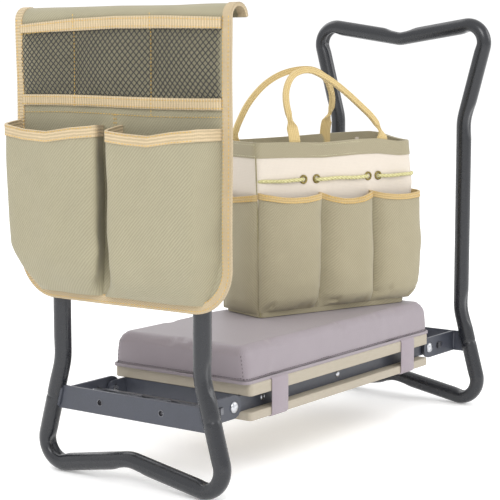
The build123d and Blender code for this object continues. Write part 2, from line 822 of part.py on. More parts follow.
front_route = cord_side(-1)
back_route = list(reversed(cord_side(1)))
route = [*front_route, (end_high, -out_y), (end_high, out_y), *back_route,
         (end_low, out_y), (end_low, -out_y)]
route_radii = []
for before, here, after in zip([route[-1], *route], route, [*route[1:], route[0]]):
    shortest = min(math.dist(before, here), math.dist(here, after))
    bend = cord_bend_r if abs(here[0]) < abs(end_low) - 1 else tote_corner_r
    route_radii.append(min(bend, 0.45 * shortest))
with BuildPart() as drawcord:
    with BuildLine(tote_plane(cord_z)) as cord_path:
        FilletPolyline(*route, radius=route_radii, close=True)
    with BuildSketch(Plane(origin=cord_path.line @ 0, z_dir=cord_path.line % 0)):
        Circle(cord_r)
    sweep(path=cord_path.line)
save(drawcord, "tote_drawcord")
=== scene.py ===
import math

import bmesh
import bpy
import numpy as np
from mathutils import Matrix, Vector, noise
from mathutils.bvhtree import BVHTree


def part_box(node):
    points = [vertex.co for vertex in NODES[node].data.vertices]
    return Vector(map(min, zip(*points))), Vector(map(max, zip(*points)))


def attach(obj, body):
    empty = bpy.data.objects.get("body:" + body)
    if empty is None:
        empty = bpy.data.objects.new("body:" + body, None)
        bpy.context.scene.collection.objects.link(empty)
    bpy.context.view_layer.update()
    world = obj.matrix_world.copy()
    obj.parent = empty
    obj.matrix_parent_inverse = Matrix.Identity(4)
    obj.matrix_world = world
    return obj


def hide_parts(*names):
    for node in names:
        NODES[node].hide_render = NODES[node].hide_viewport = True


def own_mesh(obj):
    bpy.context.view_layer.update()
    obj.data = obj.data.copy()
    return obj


bl_info = {
    "name": "Garden kneeler seat",
    "version": (1, 0, 0),
    "blender": (4, 5, 0),
    "location": "View3D > Sidebar > Kneeler",
    "description": "Builds a folding garden kneeler seat with its tool pouch and tote bag",
    "category": "Add Mesh",
}

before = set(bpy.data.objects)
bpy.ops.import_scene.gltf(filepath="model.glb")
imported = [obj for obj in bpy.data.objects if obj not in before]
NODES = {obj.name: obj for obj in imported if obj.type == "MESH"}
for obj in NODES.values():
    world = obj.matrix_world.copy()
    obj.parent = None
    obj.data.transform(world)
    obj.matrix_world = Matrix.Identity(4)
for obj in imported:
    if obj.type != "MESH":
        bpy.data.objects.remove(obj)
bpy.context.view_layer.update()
MM = 0.001
TAU = 2 * math.pi


def box(node):
    low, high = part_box(node)
    return np.array(low), np.array(high)


# Places that come from the frame.
PLATE = {side: box(f"{side}_cross_plate") for side in ("left", "right")}
FRAME_X = {side: (low[0] + high[0]) / 2 for side, (low, high) in PLATE.items()}
CENTRE_X = (FRAME_X["left"] + FRAME_X["right"]) / 2
PIVOT_Z = (PLATE["left"][0][2] + PLATE["left"][1][2]) / 2
PAD_LOW, PAD_HIGH = box("pad_cover")
POUCH_X = box("pouch_net_bottom_tape")[1][0]
BASE_LOW, BASE_HIGH = box("tote_base_board")
TOTE_CENTRE = (BASE_LOW + BASE_HIGH) / 2
TOTE_TURN = math.radians(-19.5)     # how far the bag stands turned on the pad
TOTE_U = np.array([math.cos(TOTE_TURN), math.sin(TOTE_TURN), 0])
TOTE_N = np.array([-TOTE_U[1], TOTE_U[0], 0])
TUBE_R = 9.5 * MM                   # the frames are bent from 19 mm tube
SHARP = math.radians(50)            # faces that meet at more than this show an edge


# --- points and paths -------------------------------------------------------------------------
def unit(v):
    return v / np.maximum(np.linalg.norm(v, axis=-1, keepdims=True), 1e-12)


def run_of(points):
    """Distance along a path at each of its points."""
    return np.concatenate([[0], np.cumsum(np.linalg.norm(np.diff(points, axis=0), axis=1))])


def spaced(points, count):
    """The same path with this many points, evenly spaced."""
    points = np.asarray(points, float)
    run = run_of(points)
    marks = np.linspace(0, run[-1], count)
    return np.stack([np.interp(marks, run, column) for column in points.T], axis=1)


def softened(points, rounds):
    """Cuts the corners of an open path, and keeps its ends."""
    points = np.asarray(points, float)
    for _ in range(rounds):
        near = 0.75 * points[:-1] + 0.25 * points[1:]
        far = 0.25 * points[:-1] + 0.75 * points[1:]
        middle = np.stack([near, far], axis=1).reshape(-1, points.shape[1])
        points = np.concatenate([points[:1], middle, points[-1:]])
    return points


def rounded_path(corners, radii, step):
    """A path of straight runs joined by arcs, and the place and radius of each bend."""
    corners = [np.array(c, float) for c in corners]
    points = [corners[0]]
    bends = []
    for before, here, after, radius in zip(corners, corners[1:], corners[2:], radii):
        back, on = unit(before - here), unit(after - here)
        half = 0.5 * math.acos(np.clip(back @ on, -1, 1))
        reach = radius / math.tan(half)
        centre = here + unit(back + on) * radius / math.sin(half)
        sweep = math.pi - 2 * half
        count = max(3, math.ceil(radius * sweep / step))
        first, last = here + back * reach - centre, here + on * reach - centre
        for share in np.linspace(0, 1, count):
            arm = math.sin((1 - share) * sweep) * first + math.sin(share * sweep) * last
            points.append(centre + arm / math.sin(sweep))
        bends.append((here + unit(back + on) * (radius / math.sin(half) - radius), radius, sweep))
    points.append(corners[-1])
    points = np.array(points)
    return spaced(points, math.ceil(run_of(points)[-1] / step) + 1), bends


def rounded_ring(corners, radii, count):
    """A closed outline with rounded corners, as this many even points."""
    start = (np.array(corners[-1], float) + np.array(corners[0], float)) / 2
    path, _ = rounded_path([start, *corners, start], radii, 1 * MM)
    return spaced(path, count + 1)[:-1]


def tote_place(s, w, z):
    """A point of the tote bag: s along it, w towards its back, z up."""
    s, w, z = np.broadcast_arrays(s, w, z)
    flat = TOTE_CENTRE * np.array([1, 1, 0]) + s[..., None] * TOTE_U + w[..., None] * TOTE_N
    return flat + z[..., None] * np.array([0, 0, 1])


# --- meshes -----------------------------------------------------------------------------------
def grid_faces(rows, columns, wrap, offset=0, flip=False):
    """Four-sided faces over a grid of points, row by row."""
    faces = []
    for i in range(rows - 1):
        for j in range(columns if wrap else columns - 1):
            k = (j + 1) % columns
            quad = (i * columns + j, i * columns + k, (i + 1) * columns + k, (i + 1) * columns + j)
            quad = tuple(offset + v for v in quad)
            faces.append(quad[::-1] if flip else quad)
    return faces


def grid_lengths(rows, wrap):
    """Real lengths over a grid of points, for its UV map: across a row, and from row to row."""
    closed = np.concatenate([rows, rows[:, :1]], axis=1) if wrap else rows
    across = np.linalg.norm(np.diff(closed, axis=1), axis=2)
    across = np.concatenate([np.zeros((len(rows), 1)), np.cumsum(across, axis=1)], axis=1)
    across -= across[:, -1:] / 2
    down = np.linalg.norm(np.diff(closed, axis=0), axis=2)
    down = np.concatenate([np.zeros((1, closed.shape[1])), np.cumsum(down, axis=0)], axis=0)
    return np.stack([across, down], axis=2)


def grid_normals(rows, wrap, away):
    """Normals over a grid of points, turned to look away from a place."""
    if wrap:
        across = np.roll(rows, -1, axis=1) - np.roll(rows, 1, axis=1)
    else:
        across = np.gradient(rows, axis=1)
    normals = unit(np.cross(across, np.gradient(rows, axis=0)))
    if np.sum(normals * (rows - np.asarray(away))) < 0:
        normals = -normals
    return normals


def solid_rings(rings, cap=True):
    """A tube-like skin through closed rings, its ends capped."""
    n, m, _ = rings.shape
    faces = grid_faces(n, m, True)
    if cap:
        faces += [tuple(range(m))[::-1], tuple(range((n - 1) * m, n * m))]
    return rings.reshape(-1, 3), faces, (grid_lengths(rings, True), m)


def cloth(rows, thickness, away, wrap=False, stand=0.0, ruffle=(0, 1), floor=False):
    """Cloth of an even thickness laid on a grid of points, from stand outwards.
    ruffle is the height and the width of its soft unevenness. floor closes the first row."""
    normals = grid_normals(rows, wrap, away)
    height, width = ruffle
    if height:
        lift = [height * noise.noise(Vector(p / width)) for p in rows.reshape(-1, 3)]
        rows = rows + normals * np.array(lift).reshape(*rows.shape[:2], 1)
    n, m, _ = rows.shape
    layers = np.concatenate([rows + normals * (stand + thickness), rows + normals * stand])
    inner = n * m
    faces = grid_faces(n, m, wrap) + grid_faces(n, m, wrap, inner, True)
    ends = [(n - 1) * m] if floor else [0, (n - 1) * m]
    for start in ends:
        for j in range(m if wrap else m - 1):
            a, b = start + j, start + (j + 1) % m
            faces.append((a, b, inner + b, inner + a))
    if floor:
        faces += [tuple(range(m)), tuple(inner + j for j in range(m))]
    if not wrap:
        for column in (0, m - 1):
            for i in range(n - 1):
                a, b = i * m + column, (i + 1) * m + column
                faces.append((a, b, inner + b, inner + a))
    return layers.reshape(-1, 3), faces, (grid_lengths(rows, wrap), m)


def webbing(path, facing, width, thickness, rib_pitch=0.0, rib_depth=0.0, wrap=False):
    """A flat strap along a path. facing is the way its flat side looks."""
    path = np.asarray(path, float)
    tangent = np.gradient(path, axis=0)
    if wrap:
        tangent = np.roll(path, -1, axis=0) - np.roll(path, 1, axis=0)
    tangent = unit(tangent)
    side = unit(np.cross(np.broadcast_to(facing, path.shape), tangent))
    face = unit(np.cross(tangent, side))
    width = np.broadcast_to(width, len(path))[:, None, None]
    thickness = np.broadcast_to(thickness, len(path))
    if rib_pitch:
        thickness = thickness * (1 + rib_depth * np.sin(TAU * run_of(path) / rib_pitch))
    outline = [(-0.5, 0.25), (-0.46, 0.5), (-0.2, 0.5), (0.2, 0.5), (0.46, 0.5), (0.5, 0.25),
               (0.5, -0.25), (0.46, -0.5), (0, -0.5), (-0.46, -0.5), (-0.5, -0.25)]
    outline = np.array(outline)
    rings = path[:, None] + side[:, None] * width * outline[None, :, :1]
    rings = rings + face[:, None] * thickness[:, None, None] * outline[None, :, 1:]
    if wrap:
        rings = np.concatenate([rings, rings[:1]])
        return solid_rings(rings, cap=False)
    return solid_rings(rings)


def round_bar(path, radius, facing=(0, 0, 1), sides=12, wrap=False):
    """A round bar or cord along a path. radius may change along it."""
    path = np.asarray(path, float)
    tangent = np.gradient(path, axis=0)
    if wrap:
        tangent = np.roll(path, -1, axis=0) - np.roll(path, 1, axis=0)
    tangent = unit(tangent)
    side = unit(np.cross(np.broadcast_to(facing, path.shape), tangent))
    face = unit(np.cross(tangent, side))
    turn = np.arange(sides) * TAU / sides
    radius = np.broadcast_to(radius, len(path))[:, None, None]
    ring = np.cos(turn)[None, :, None] * side[:, None] + np.sin(turn)[None, :, None] * face[:, None]
    rings = path[:, None] + ring * radius
    if wrap:
        return solid_rings(np.concatenate([rings, rings[:1]]), cap=False)
    return solid_rings(rings)


def piece(name, parts, finish):
    """One object from parts, each (points, faces, lengths), at the origin with its UV map."""
    points, faces, uvs = [], [], []
    offset = 0
    for verts, part_faces, (lengths, columns) in parts:
        points.append(verts)
        across = lengths.shape[1]
        count = lengths.shape[0] * columns
        for face in part_faces:
            faces.append(tuple(offset + v for v in face))
            spots = [divmod(v % count, columns) for v in face]
            used = [c for _, c in spots]
            far = across > columns and 0 in used and columns - 1 in used and len(face) == 4
            uvs += [tuple(lengths[r, columns if far and c == 0 else c]) for r, c in spots]
        offset += len(verts)
    mesh = bpy.data.meshes.new(name)
    mesh.from_pydata(np.concatenate(points).tolist(), [], faces)
    layer = mesh.uv_layers.new(name="UVMap")
    layer.data.foreach_set("uv", np.array(uvs, dtype=np.float32).ravel())
    work = bmesh.new()
    work.from_mesh(mesh)
    bmesh.ops.remove_doubles(work, verts=work.verts, dist=1e-6)
    bmesh.ops.recalc_face_normals(work, faces=work.faces)
    work.to_mesh(mesh)
    work.free()
    made = bpy.data.objects.new(name, mesh)
    bpy.context.scene.collection.objects.link(made)
    mesh.materials.append(finish)
    mesh.shade_smooth()
    mesh.set_sharp_from_angle(angle=SHARP)
    return made


def settle(made, body, slot, *nodes, sinks=False):
    """Fixes a finished piece to its body and hides the nodes it stands for. slot is not used."""
    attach(made, body)
    if nodes:
        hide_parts(*nodes)
    if sinks:
        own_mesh(made)
    return made


def paint_nodes(finish, *names):
    """Gives the CAD's own nodes a finish."""
    for name in names:
        node = NODES[name]
        if node.material_slots:
            for slot in node.material_slots:
                slot.material = finish
        else:
            node.data.materials.append(finish)


# --- node trees ---------------------------------------------------------------------------------
def add_node(tree, kind, inputs=None, **settings):
    """Adds a node with its settings. An input's value is a socket to link, or a constant."""
    made = tree.nodes.new(kind)
    for name, value in settings.items():
        setattr(made, name, value)
    for socket, value in (inputs or {}).items():
        if isinstance(value, bpy.types.NodeSocket):
            tree.links.new(value, made.inputs[socket])
        else:
            made.inputs[socket].default_value = value
    return made


def shape_tree(name, sizes):
    """A Geometry Nodes tree with named inputs: its geometry, sizes in metres, and its material."""
    tree = bpy.data.node_groups.new(name, "GeometryNodeTree")
    tree.interface.new_socket("Geometry", in_out="INPUT", socket_type="NodeSocketGeometry")
    for size in sizes:
        tree.interface.new_socket(size, in_out="INPUT", socket_type="NodeSocketFloat")
    tree.interface.new_socket("Material", in_out="INPUT", socket_type="NodeSocketMaterial")
    tree.interface.new_socket("Geometry", in_out="OUTPUT", socket_type="NodeSocketGeometry")
    return tree, add_node(tree, "NodeGroupInput").outputs


def end_tree(tree, given, shape):
    """Ends a tree with plain geometry and its material."""
    real = add_node(tree, "GeometryNodeRealizeInstances", {"Geometry": shape})
    shown = {"Geometry": real.outputs[0], "Material": given["Material"]}
    last = add_node(tree, "GeometryNodeSetMaterial", shown)
    add_node(tree, "NodeGroupOutput", {"Geometry": last.outputs[0]})
    return tree


def stitch_tree():
    """Stitches along edges: pitch, length of a stitch, and thread."""
    tree, given = shape_tree("stitch_rows", ("Pitch", "Stitch", "Thread"))
    row = add_node(tree, "GeometryNodeMeshToCurve", {"Mesh": given["Geometry"]})
    spots = add_node(tree, "GeometryNodeCurveToPoints",
                     {"Curve": row.outputs[0], "Length": given["Pitch"]}, mode="LENGTH")
    bead = add_node(tree, "GeometryNodeMeshUVSphere", {"Segments": 6, "Rings": 5, "Radius": 0.5})
    size = add_node(tree, "ShaderNodeCombineXYZ",
                    {0: given["Thread"], 1: given["Thread"], 2: given["Stitch"]})
    stitch = add_node(tree, "GeometryNodeTransform",
                      {"Geometry": bead.outputs[0], "Scale": size.outputs[0]})
    sewn = add_node(tree, "GeometryNodeInstanceOnPoints",
                    {"Points": spots.outputs["Points"], "Instance": stitch.outputs[0],
                     "Rotation": spots.outputs["Rotation"]})
    return end_tree(tree, given, sewn.outputs[0])


def net_tree():
    """A net: a hole in each cell of a grid, as wide as this share of the cell."""
    tree, given = shape_tree("pouch_netting", ("Hole share",))
    cells = add_node(tree, "GeometryNodeExtrudeMesh",
                     {"Mesh": given["Geometry"], "Offset Scale": 0.0, "Individual": True},
                     mode="FACES")
    holes = add_node(tree, "GeometryNodeScaleElements",
                     {"Geometry": cells.outputs["Mesh"], "Selection": cells.outputs["Top"],
                      "Scale": given["Hole share"]}, domain="FACE")
    strands = add_node(tree, "GeometryNodeDeleteGeometry",
                       {"Geometry": holes.outputs[0], "Selection": cells.outputs["Top"]},
                       domain="FACE")
    return end_tree(tree, given, strands.outputs[0])


def copies(tree, given, shape):
    """Copies of a shape on points, each turned as its facing attribute says."""
    turn = add_node(tree, "GeometryNodeInputNamedAttribute", {"Name": "facing"},
                    data_type="FLOAT_VECTOR")
    rotation = add_node(tree, "FunctionNodeEulerToRotation", {0: turn.outputs["Attribute"]})
    placed = add_node(tree, "GeometryNodeInstanceOnPoints",
                      {"Points": given["Geometry"], "Instance": shape,
                       "Rotation": rotation.outputs[0]})
    return end_tree(tree, given, placed.outputs[0])


def rivet_tree():
    """Rivets: a domed head on a shank."""
    tree, given = shape_tree("domed_rivets", ("Head radius", "Dome", "Shank radius", "Shank"))
    ball = add_node(tree, "GeometryNodeMeshUVSphere", {"Segments": 32, "Rings": 16, "Radius": 1.0})
    size = add_node(tree, "ShaderNodeCombineXYZ",
                    {0: given["Head radius"], 1: given["Head radius"], 2: given["Dome"]})
    head = add_node(tree, "GeometryNodeTransform",
                    {"Geometry": ball.outputs[0], "Scale": size.outputs[0]})
    shank = add_node(tree, "GeometryNodeMeshCylinder",
                     {"Vertices": 24, "Radius": given["Shank radius"], "Depth": given["Shank"]})
    drop = add_node(tree, "ShaderNodeMath", {0: given["Shank"], 1: -0.5}, operation="MULTIPLY")
    down = add_node(tree, "ShaderNodeCombineXYZ", {2: drop.outputs[0]})
    sunk = add_node(tree, "GeometryNodeTransform",
                    {"Geometry": shank.outputs[0], "Translation": down.outputs[0]})
    rivet = add_node(tree, "GeometryNodeJoinGeometry", {"Geometry": head.outputs[0]})
    tree.links.new(sunk.outputs[0], rivet.inputs[0])
    return copies(tree, given, rivet.outputs[0])


def eyelet_tree():
    """Eyelets: a rolled ring."""
    tree, given = shape_tree("rolled_eyelets", ("Ring radius", "Roll radius"))
    ring = add_node(tree, "GeometryNodeCurvePrimitiveCircle",
                    {"Resolution": 32, "Radius": given["Ring radius"]})
    roll = add_node(tree, "GeometryNodeCurvePrimitiveCircle",
                    {"Resolution": 12, "Radius": given["Roll radius"]})
    rolled = add_node(tree, "GeometryNodeCurveToMesh",
                      {"Curve": ring.outputs[0], "Profile Curve": roll.outputs[0]})
    return copies(tree, given, rolled.outputs[0])


def grown(name, source, tree, finish, **sizes):
    """The plain mesh that a tree makes on a source mesh."""
    made = bpy.data.objects.new(name, source)
    bpy.context.scene.collection.objects.link(made)
    modifier = made.modifiers.new(name, "NODES")
    modifier.node_group = tree
    wanted = {key.replace("_", " ").capitalize(): value for key, value in sizes.items()}
    wanted["Material"] = finish
    for item in tree.interface.items_tree:
        if item.in_out == "INPUT" and item.name in wanted:
            modifier[item.identifier] = wanted[item.name]
    bpy.context.view_layer.update()
    graph = bpy.context.evaluated_depsgraph_get()
    mesh = bpy.data.meshes.new_from_object(made.evaluated_get(graph), depsgraph=graph)
    made.modifiers.clear()
    made.data = mesh
    mesh.shade_smooth()
    mesh.set_sharp_from_angle(angle=SHARP)
    return made


def rows_mesh(name, rows):
    """A mesh of edges only, one chain for each row of points."""
    points, edges = [], []
    for row in rows:
        row = np.asarray(row, float)
        edges += [(len(points) + i, len(points) + i + 1) for i in range(len(row) - 1)]
        points += row.tolist()
    mesh = bpy.data.meshes.new(name)
    mesh.from_pydata(points, edges, [])
    return mesh


def spots_mesh(name, spots):
    """Loose points, each with the way it faces, for copies of a shape."""
    mesh = bpy.data.meshes.new(name)
    mesh.from_pydata([tuple(p) for p, _ in spots], [], [])
    turns = [Vector(d).to_track_quat("Z", "Y").to_euler() for _, d in spots]
    facing = mesh.attributes.new("facing", "FLOAT_VECTOR", "POINT")
    facing.data.foreach_set("vector", [a for turn in turns for a in turn])
    return mesh


def sewn(name, rows, finish, sizes, body, slot, sinks=False):
    """Rows of stitches as one piece, settled on its body."""
    made = grown(name, rows_mesh(name, rows), stitch_tree(), finish, pitch=sizes.stitch_pitch,
                 stitch=sizes.stitch_pitch * 0.66, thread=sizes.thread)
    return settle(made, body, slot, sinks=sinks)


# --- finishes -----------------------------------------------------------------------------------
def linear(code, alpha=True):
    """The linear colour of an sRGB hex code."""
    parts = [int(code[i:i + 2], 16) / 255 for i in (1, 3, 5)]
    parts = [p / 12.92 if p <= 0.04045 else ((p + 0.055) / 1.055) ** 2.4 for p in parts]
    return (*parts, 1.0) if alpha else tuple(parts)


def blank(name, **sockets):
    """A new finish with its surface shader."""
    finish = bpy.data.materials.new(name)
    finish.use_nodes = True
    tree = finish.node_tree
    tree.nodes.clear()
    surface = add_node(tree, "ShaderNodeBsdfPrincipled",
                       {key.replace("_", " "): value for key, value in sockets.items()})
    add_node(tree, "ShaderNodeOutputMaterial", {"Surface": surface.outputs[0]})
    return finish, tree, surface


def blend_of(tree, share, low, high):
    """A colour between two, by a share."""
    mixed = add_node(tree, "ShaderNodeMix", {0: share, 6: low, 7: high}, data_type="RGBA")
    return mixed.outputs[2]


def woven(name, thread, shade, warp, weft, turn, relief, sheen=0.15, rough=0.9, ribs=(1.0, 0.45)):
    """Woven cloth or webbing: matt, with threads warp apart across and weft apart along,
    turned by an angle. Threads are drawn coarse enough to show. The colour is painted shade
    in the hollows between the threads, and the thread colour on their tops."""
    finish, tree, surface = blank(name, Roughness=rough, Sheen_Weight=sheen, Sheen_Roughness=0.5)
    places = add_node(tree, "ShaderNodeTexCoord").outputs
    turned = add_node(tree, "ShaderNodeMapping", {"Vector": places["UV"], "Rotation": (0, 0, turn)})
    warps = add_node(tree, "ShaderNodeTexWave",
                     {"Vector": turned.outputs[0], "Scale": TAU / (20 * warp), "Distortion": 1.0,
                      "Detail": 1.0, "Detail Scale": 2.0}, bands_direction="X")
    wefts = add_node(tree, "ShaderNodeTexWave",
                     {"Vector": turned.outputs[0], "Scale": TAU / (20 * weft), "Distortion": 1.4,
                      "Detail": 1.0, "Detail Scale": 2.0}, bands_direction="Y")
    along = add_node(tree, "ShaderNodeMath", {0: warps.outputs[1], 1: ribs[0]}, operation="MULTIPLY")
    crossed = add_node(tree, "ShaderNodeMath", {0: wefts.outputs[1], 1: ribs[1]},
                       operation="MULTIPLY")
    height = add_node(tree, "ShaderNodeMath", {0: along.outputs[0], 1: crossed.outputs[0]},
                      operation="ADD")
    share = add_node(tree, "ShaderNodeMapRange", {"Value": height.outputs[0],
                                                  "From Max": sum(ribs), "To Min": 0.25,
                                                  "To Max": 1.0})
    patch = add_node(tree, "ShaderNodeTexNoise", {"Vector": places["Object"], "Scale": 22.0,
                                                  "Detail": 5.0, "Roughness": 0.65})
    faded = add_node(tree, "ShaderNodeMapRange", {"Value": patch.outputs[0], "From Min": 0.35,
                                                  "From Max": 0.7, "To Min": 0.75, "To Max": 1.0})
    both = add_node(tree, "ShaderNodeMath", {0: share.outputs[0], 1: faded.outputs[0]},
                    operation="MULTIPLY")
    # Painted shade: the colour darkens where the threads' height is low, the same height as the bump.
    colour = blend_of(tree, both.outputs[0], shade, thread)
    bump = add_node(tree, "ShaderNodeBump", {"Height": height.outputs[0], "Strength": 0.8,
                                             "Distance": relief})
    tree.links.new(colour, surface.inputs["Base Color"])
    tree.links.new(bump.outputs[0], surface.inputs["Normal"])
    return finish


def grainy(name, light, dark, grain, relief, rough, stretch=(1, 1, 1), **sockets):
    """A finish with a fine grain of its own: paint, metal, board, thread or plastic."""
    finish, tree, surface = blank(name, **sockets)
    places = add_node(tree, "ShaderNodeTexCoord").outputs
    pulled = add_node(tree, "ShaderNodeMapping", {"Vector": places["Object"], "Scale": stretch})
    fine = add_node(tree, "ShaderNodeTexNoise", {"Vector": pulled.outputs[0], "Scale": 1 / grain,
                                                 "Detail": 3.0, "Roughness": 0.6})
    broad = add_node(tree, "ShaderNodeTexNoise", {"Vector": pulled.outputs[0],
                                                  "Scale": 0.12 / grain, "Detail": 4.0})
    share = add_node(tree, "ShaderNodeMath", {0: fine.outputs[0], 1: broad.outputs[0]},
                     operation="MULTIPLY")
    spread = add_node(tree, "ShaderNodeMapRange", {"Value": share.outputs[0], "From Min": 0.1,
                                                   "From Max": 0.42})
    colour = blend_of(tree, spread.outputs[0], dark, light)
    gloss = add_node(tree, "ShaderNodeMapRange", {"Value": broad.outputs[0], "From Min": 0.3,
                                                  "From Max": 0.7, "To Min": rough * 0.85,
                                                  "To Max": rough * 1.2})
    bump = add_node(tree, "ShaderNodeBump", {"Height": fine.outputs[0], "Strength": 0.6,
                                             "Distance": relief})
    tree.links.new(colour, surface.inputs["Base Color"])
    tree.links.new(gloss.outputs[0], surface.inputs["Roughness"])
    tree.links.new(bump.outputs[0], surface.inputs["Normal"])
    return finish


FINISHES = {}


def make_finishes(colours):
    # A darker copy of a colour. For the woven finishes it is painted shade between the threads; for
    # the tube paint it is a random darker tone.
    def shade(colour, share):
        return (*[c * share for c in colour[:3]], 1.0)

    def full(colour):
        return (*colour[:3], 1.0)

    steel = full(colours.steel)
    canvas = full(colours.canvas)
    trim = full(colours.trim)
    twill = math.radians(42)
    # Powder-coated steel tube: semi-gloss, with a faint orange peel about a millimetre across.
    FINISHES["paint"] = grainy("powder_coated_steel", steel, shade(steel, 0.88), 1.2 * MM, 0.002 * MM,
                               0.27, Coat_Weight=0.15, Coat_Roughness=0.2)
    # Powder-coated flat bar: the same paint, a little duller on the sheared bar, and painted much
    # lighter than on the tubes: painted light on its flat faces.
    FINISHES["bar"] = grainy("powder_coated_flat_bar_painted_light", linear("#41444e"), linear("#363942"),
                             1.6 * MM, 0.05 * MM, 0.45, Coat_Weight=0.15, Coat_Roughness=0.3)
    # Bare cold-rolled steel: satin, with fine drawing lines.
    FINISHES["bare"] = grainy("cold_rolled_steel", linear("#8c8d92"), linear("#5d5e63"), 0.8 * MM,
                              0.02 * MM, 0.38, (1, 1, 6), Metallic=1.0)
    # Zinc-plated rivets: bright, faintly clouded.
    FINISHES["zinc"] = grainy("zinc_plated_steel", linear("#d9dadd"), linear("#a9acb2"), 2.5 * MM,
                              0.01 * MM, 0.27, Metallic=1.0)
    # Moulded nylon washers: near black and satin.
    FINISHES["nylon"] = grainy("moulded_nylon", linear("#2a2b2e"), linear("#1d1e20"), 1 * MM,
                               0.02 * MM, 0.5)
    # Plywood with a sanded face: matt, its fibres run along the seat.
    FINISHES["board"] = grainy("sanded_plywood", linear("#ada495"), linear("#a49b8a"), 1.4 * MM,
                               0.03 * MM, 0.6, (0.12, 1, 1))
    # Polyester twill over foam: a soft rib about 1.5 mm apart, with a slight sheen.
    cover = full(colours.cover)
    FINISHES["cover"] = woven("polyester_twill_cover", cover, shade(cover, 0.78), 1.5 * MM,
                              1.1 * MM, math.radians(35), 0.05 * MM, 0.2, 0.5)
    # Polyester webbing: flatter and duller than the pad's cover.
    FINISHES["strap"] = woven("polyester_webbing_strap", linear("#9f949b"), linear("#857a81"),
                              1.6 * MM, 1.2 * MM, math.radians(35), 0.07 * MM, 0.15, 0.65)
    # Hook and loop tape: dull, with a fuzzy pile.
    FINISHES["hook"] = grainy("hook_and_loop_tape", linear("#6f6a60"), linear("#45423c"), 0.9 * MM,
                              0.4 * MM, 0.95)
    # Cotton canvas in a twill: matt, with diagonal ribs 2.6 mm apart.
    FINISHES["canvas"] = woven("cotton_twill_canvas", canvas, shade(canvas, 0.62), 2.6 * MM,
                               1.3 * MM, twill, 0.22 * MM)
    # The bag's canvas: the same twill, a little finer and warmer.
    FINISHES["tote"] = woven("cotton_twill_bag_canvas", full(colours.tote),
                             shade(full(colours.tote), 0.68), 2.4 * MM, 1.3 * MM, twill, 0.18 * MM)
    # Bleached canvas: pale, a plain weave with hardly any relief.
    FINISHES["cream"] = woven("bleached_cotton_canvas", full(colours.cream),
                              shade(full(colours.cream), 0.86), 1.8 * MM, 1.8 * MM, 0, 0.08 * MM)
    # Cotton binding tape: ribs 3.3 mm apart across it, their hollows painted at about half its colour
    # as painted shade.
    FINISHES["trim"] = woven("ribbed_binding_tape", trim, shade(trim, 0.52), 2.0 * MM, 3.3 * MM, 0,
                             0.4 * MM, ribs=(0.2, 1.0))
    # Tape on the bag's pockets: golden, with finer ribs.
    FINISHES["pocket_trim"] = woven("ribbed_pocket_tape", linear("#cbb280"), linear("#a08759"),
                                    2.0 * MM, 2.6 * MM, 0, 0.2 * MM, ribs=(0.4, 1.0))
    # Cotton webbing: golden, with ribs both ways that catch the light.
    FINISHES["handle"] = woven("cotton_webbing_handle", linear("#d6c08b"), linear("#b0965f"),
                               2.4 * MM, 2.2 * MM, 0, 0.25 * MM)
    # Nylon netting: dark, satin strands.
    FINISHES["net"] = grainy("knitted_nylon_net", linear("#33332f"), linear("#1f1f1d"), 1 * MM,
                             0.05 * MM, 0.5)
    # Polyester thread: gold on the bindings, dark on the pad, pale on the bag's rim.
    FINISHES["thread"] = grainy("polyester_thread", linear("#e6bf5e"), linear("#bd9340"), 0.6 * MM,
                                0.1 * MM, 0.6)
    FINISHES["dark_thread"] = grainy("dark_polyester_thread", linear("#5a5156"), linear("#393337"),
                                     0.6 * MM, 0.1 * MM, 0.6)
    FINISHES["light_thread"] = grainy("pale_polyester_thread", linear("#d8d2b4"), linear("#a9a283"),
                                      0.6 * MM, 0.1 * MM, 0.6)
    # Antique brass eyelets: satin and olive.
    FINISHES["brass"] = grainy("antique_brass", linear("#a1925a"), linear("#6d6138"), 1.5 * MM,
                               0.02 * MM, 0.36, Metallic=1.0)
    # Twisted cotton cord: soft strands 3 mm apart wind round it.
    FINISHES["cord"] = woven("twisted_cotton_cord", linear("#dfdaa4"), linear("#a39b66"), 3.0 * MM,
                             6.0 * MM, math.radians(35), 0.5 * MM)
    # A turned seam of the bag's own canvas. Its colour is darker than the canvas: painted shade of
    # the fold where the corner turns in.
    FINISHES["seam"] = grainy("turned_canvas_seam_painted_shade", linear("#a19978"), linear("#7f7858"), 1.2 * MM,
                              0.1 * MM, 0.9)
    # Hard plastic sheet in the bag's base: dark and satin.
    FINISHES["plastic"] = grainy("hard_plastic_sheet", linear("#55564f"), linear("#42433d"), 1 * MM,
                                 0.02 * MM, 0.5)


# --- tube frames --------------------------------------------------------------------------------
# Points of half a frame in its own plane, in millimetres (across, up), and its bends' radii.
TOP_MIDDLE, TOP_CORNER = (0, 466.3), (127.2, 485.3)
UPPER_WAIST, LOWER_WAIST = (94.1, 363.0), (94.1, 122.7)
FOOT_CORNER, FOOT_MIDDLE, JOINT = (127.5, 3.2), (0, 25.6), (105.8, 80.7)


HANDLE_BENDS, FOOT_BENDS = [25.7, 21.8, 61.8, 61.8], [41.2, 23.8]
LONG_BEND = 30 * MM         # a bend wider than this is pressed a little less
PRESS_REACH = 19 * MM       # how far a press mark runs along the tube
PRESS_TURN = 0.62           # how far it runs round the tube, in radians
TUBE_STEP = 2.5 * MM
WELD_R, PLATE_WELD_R = 2.2 * MM, 1.8 * MM
WELD_REACH = 11 * MM        # half a weld's length
HOLE_Y = 41.5 * MM          # the two holes of a cross plate
BUSH_R, BUSH_WALL, BUSH_LENGTH, BUSH_PROUD = 3.7 * MM, 0.7 * MM, 10 * MM, 1.7 * MM


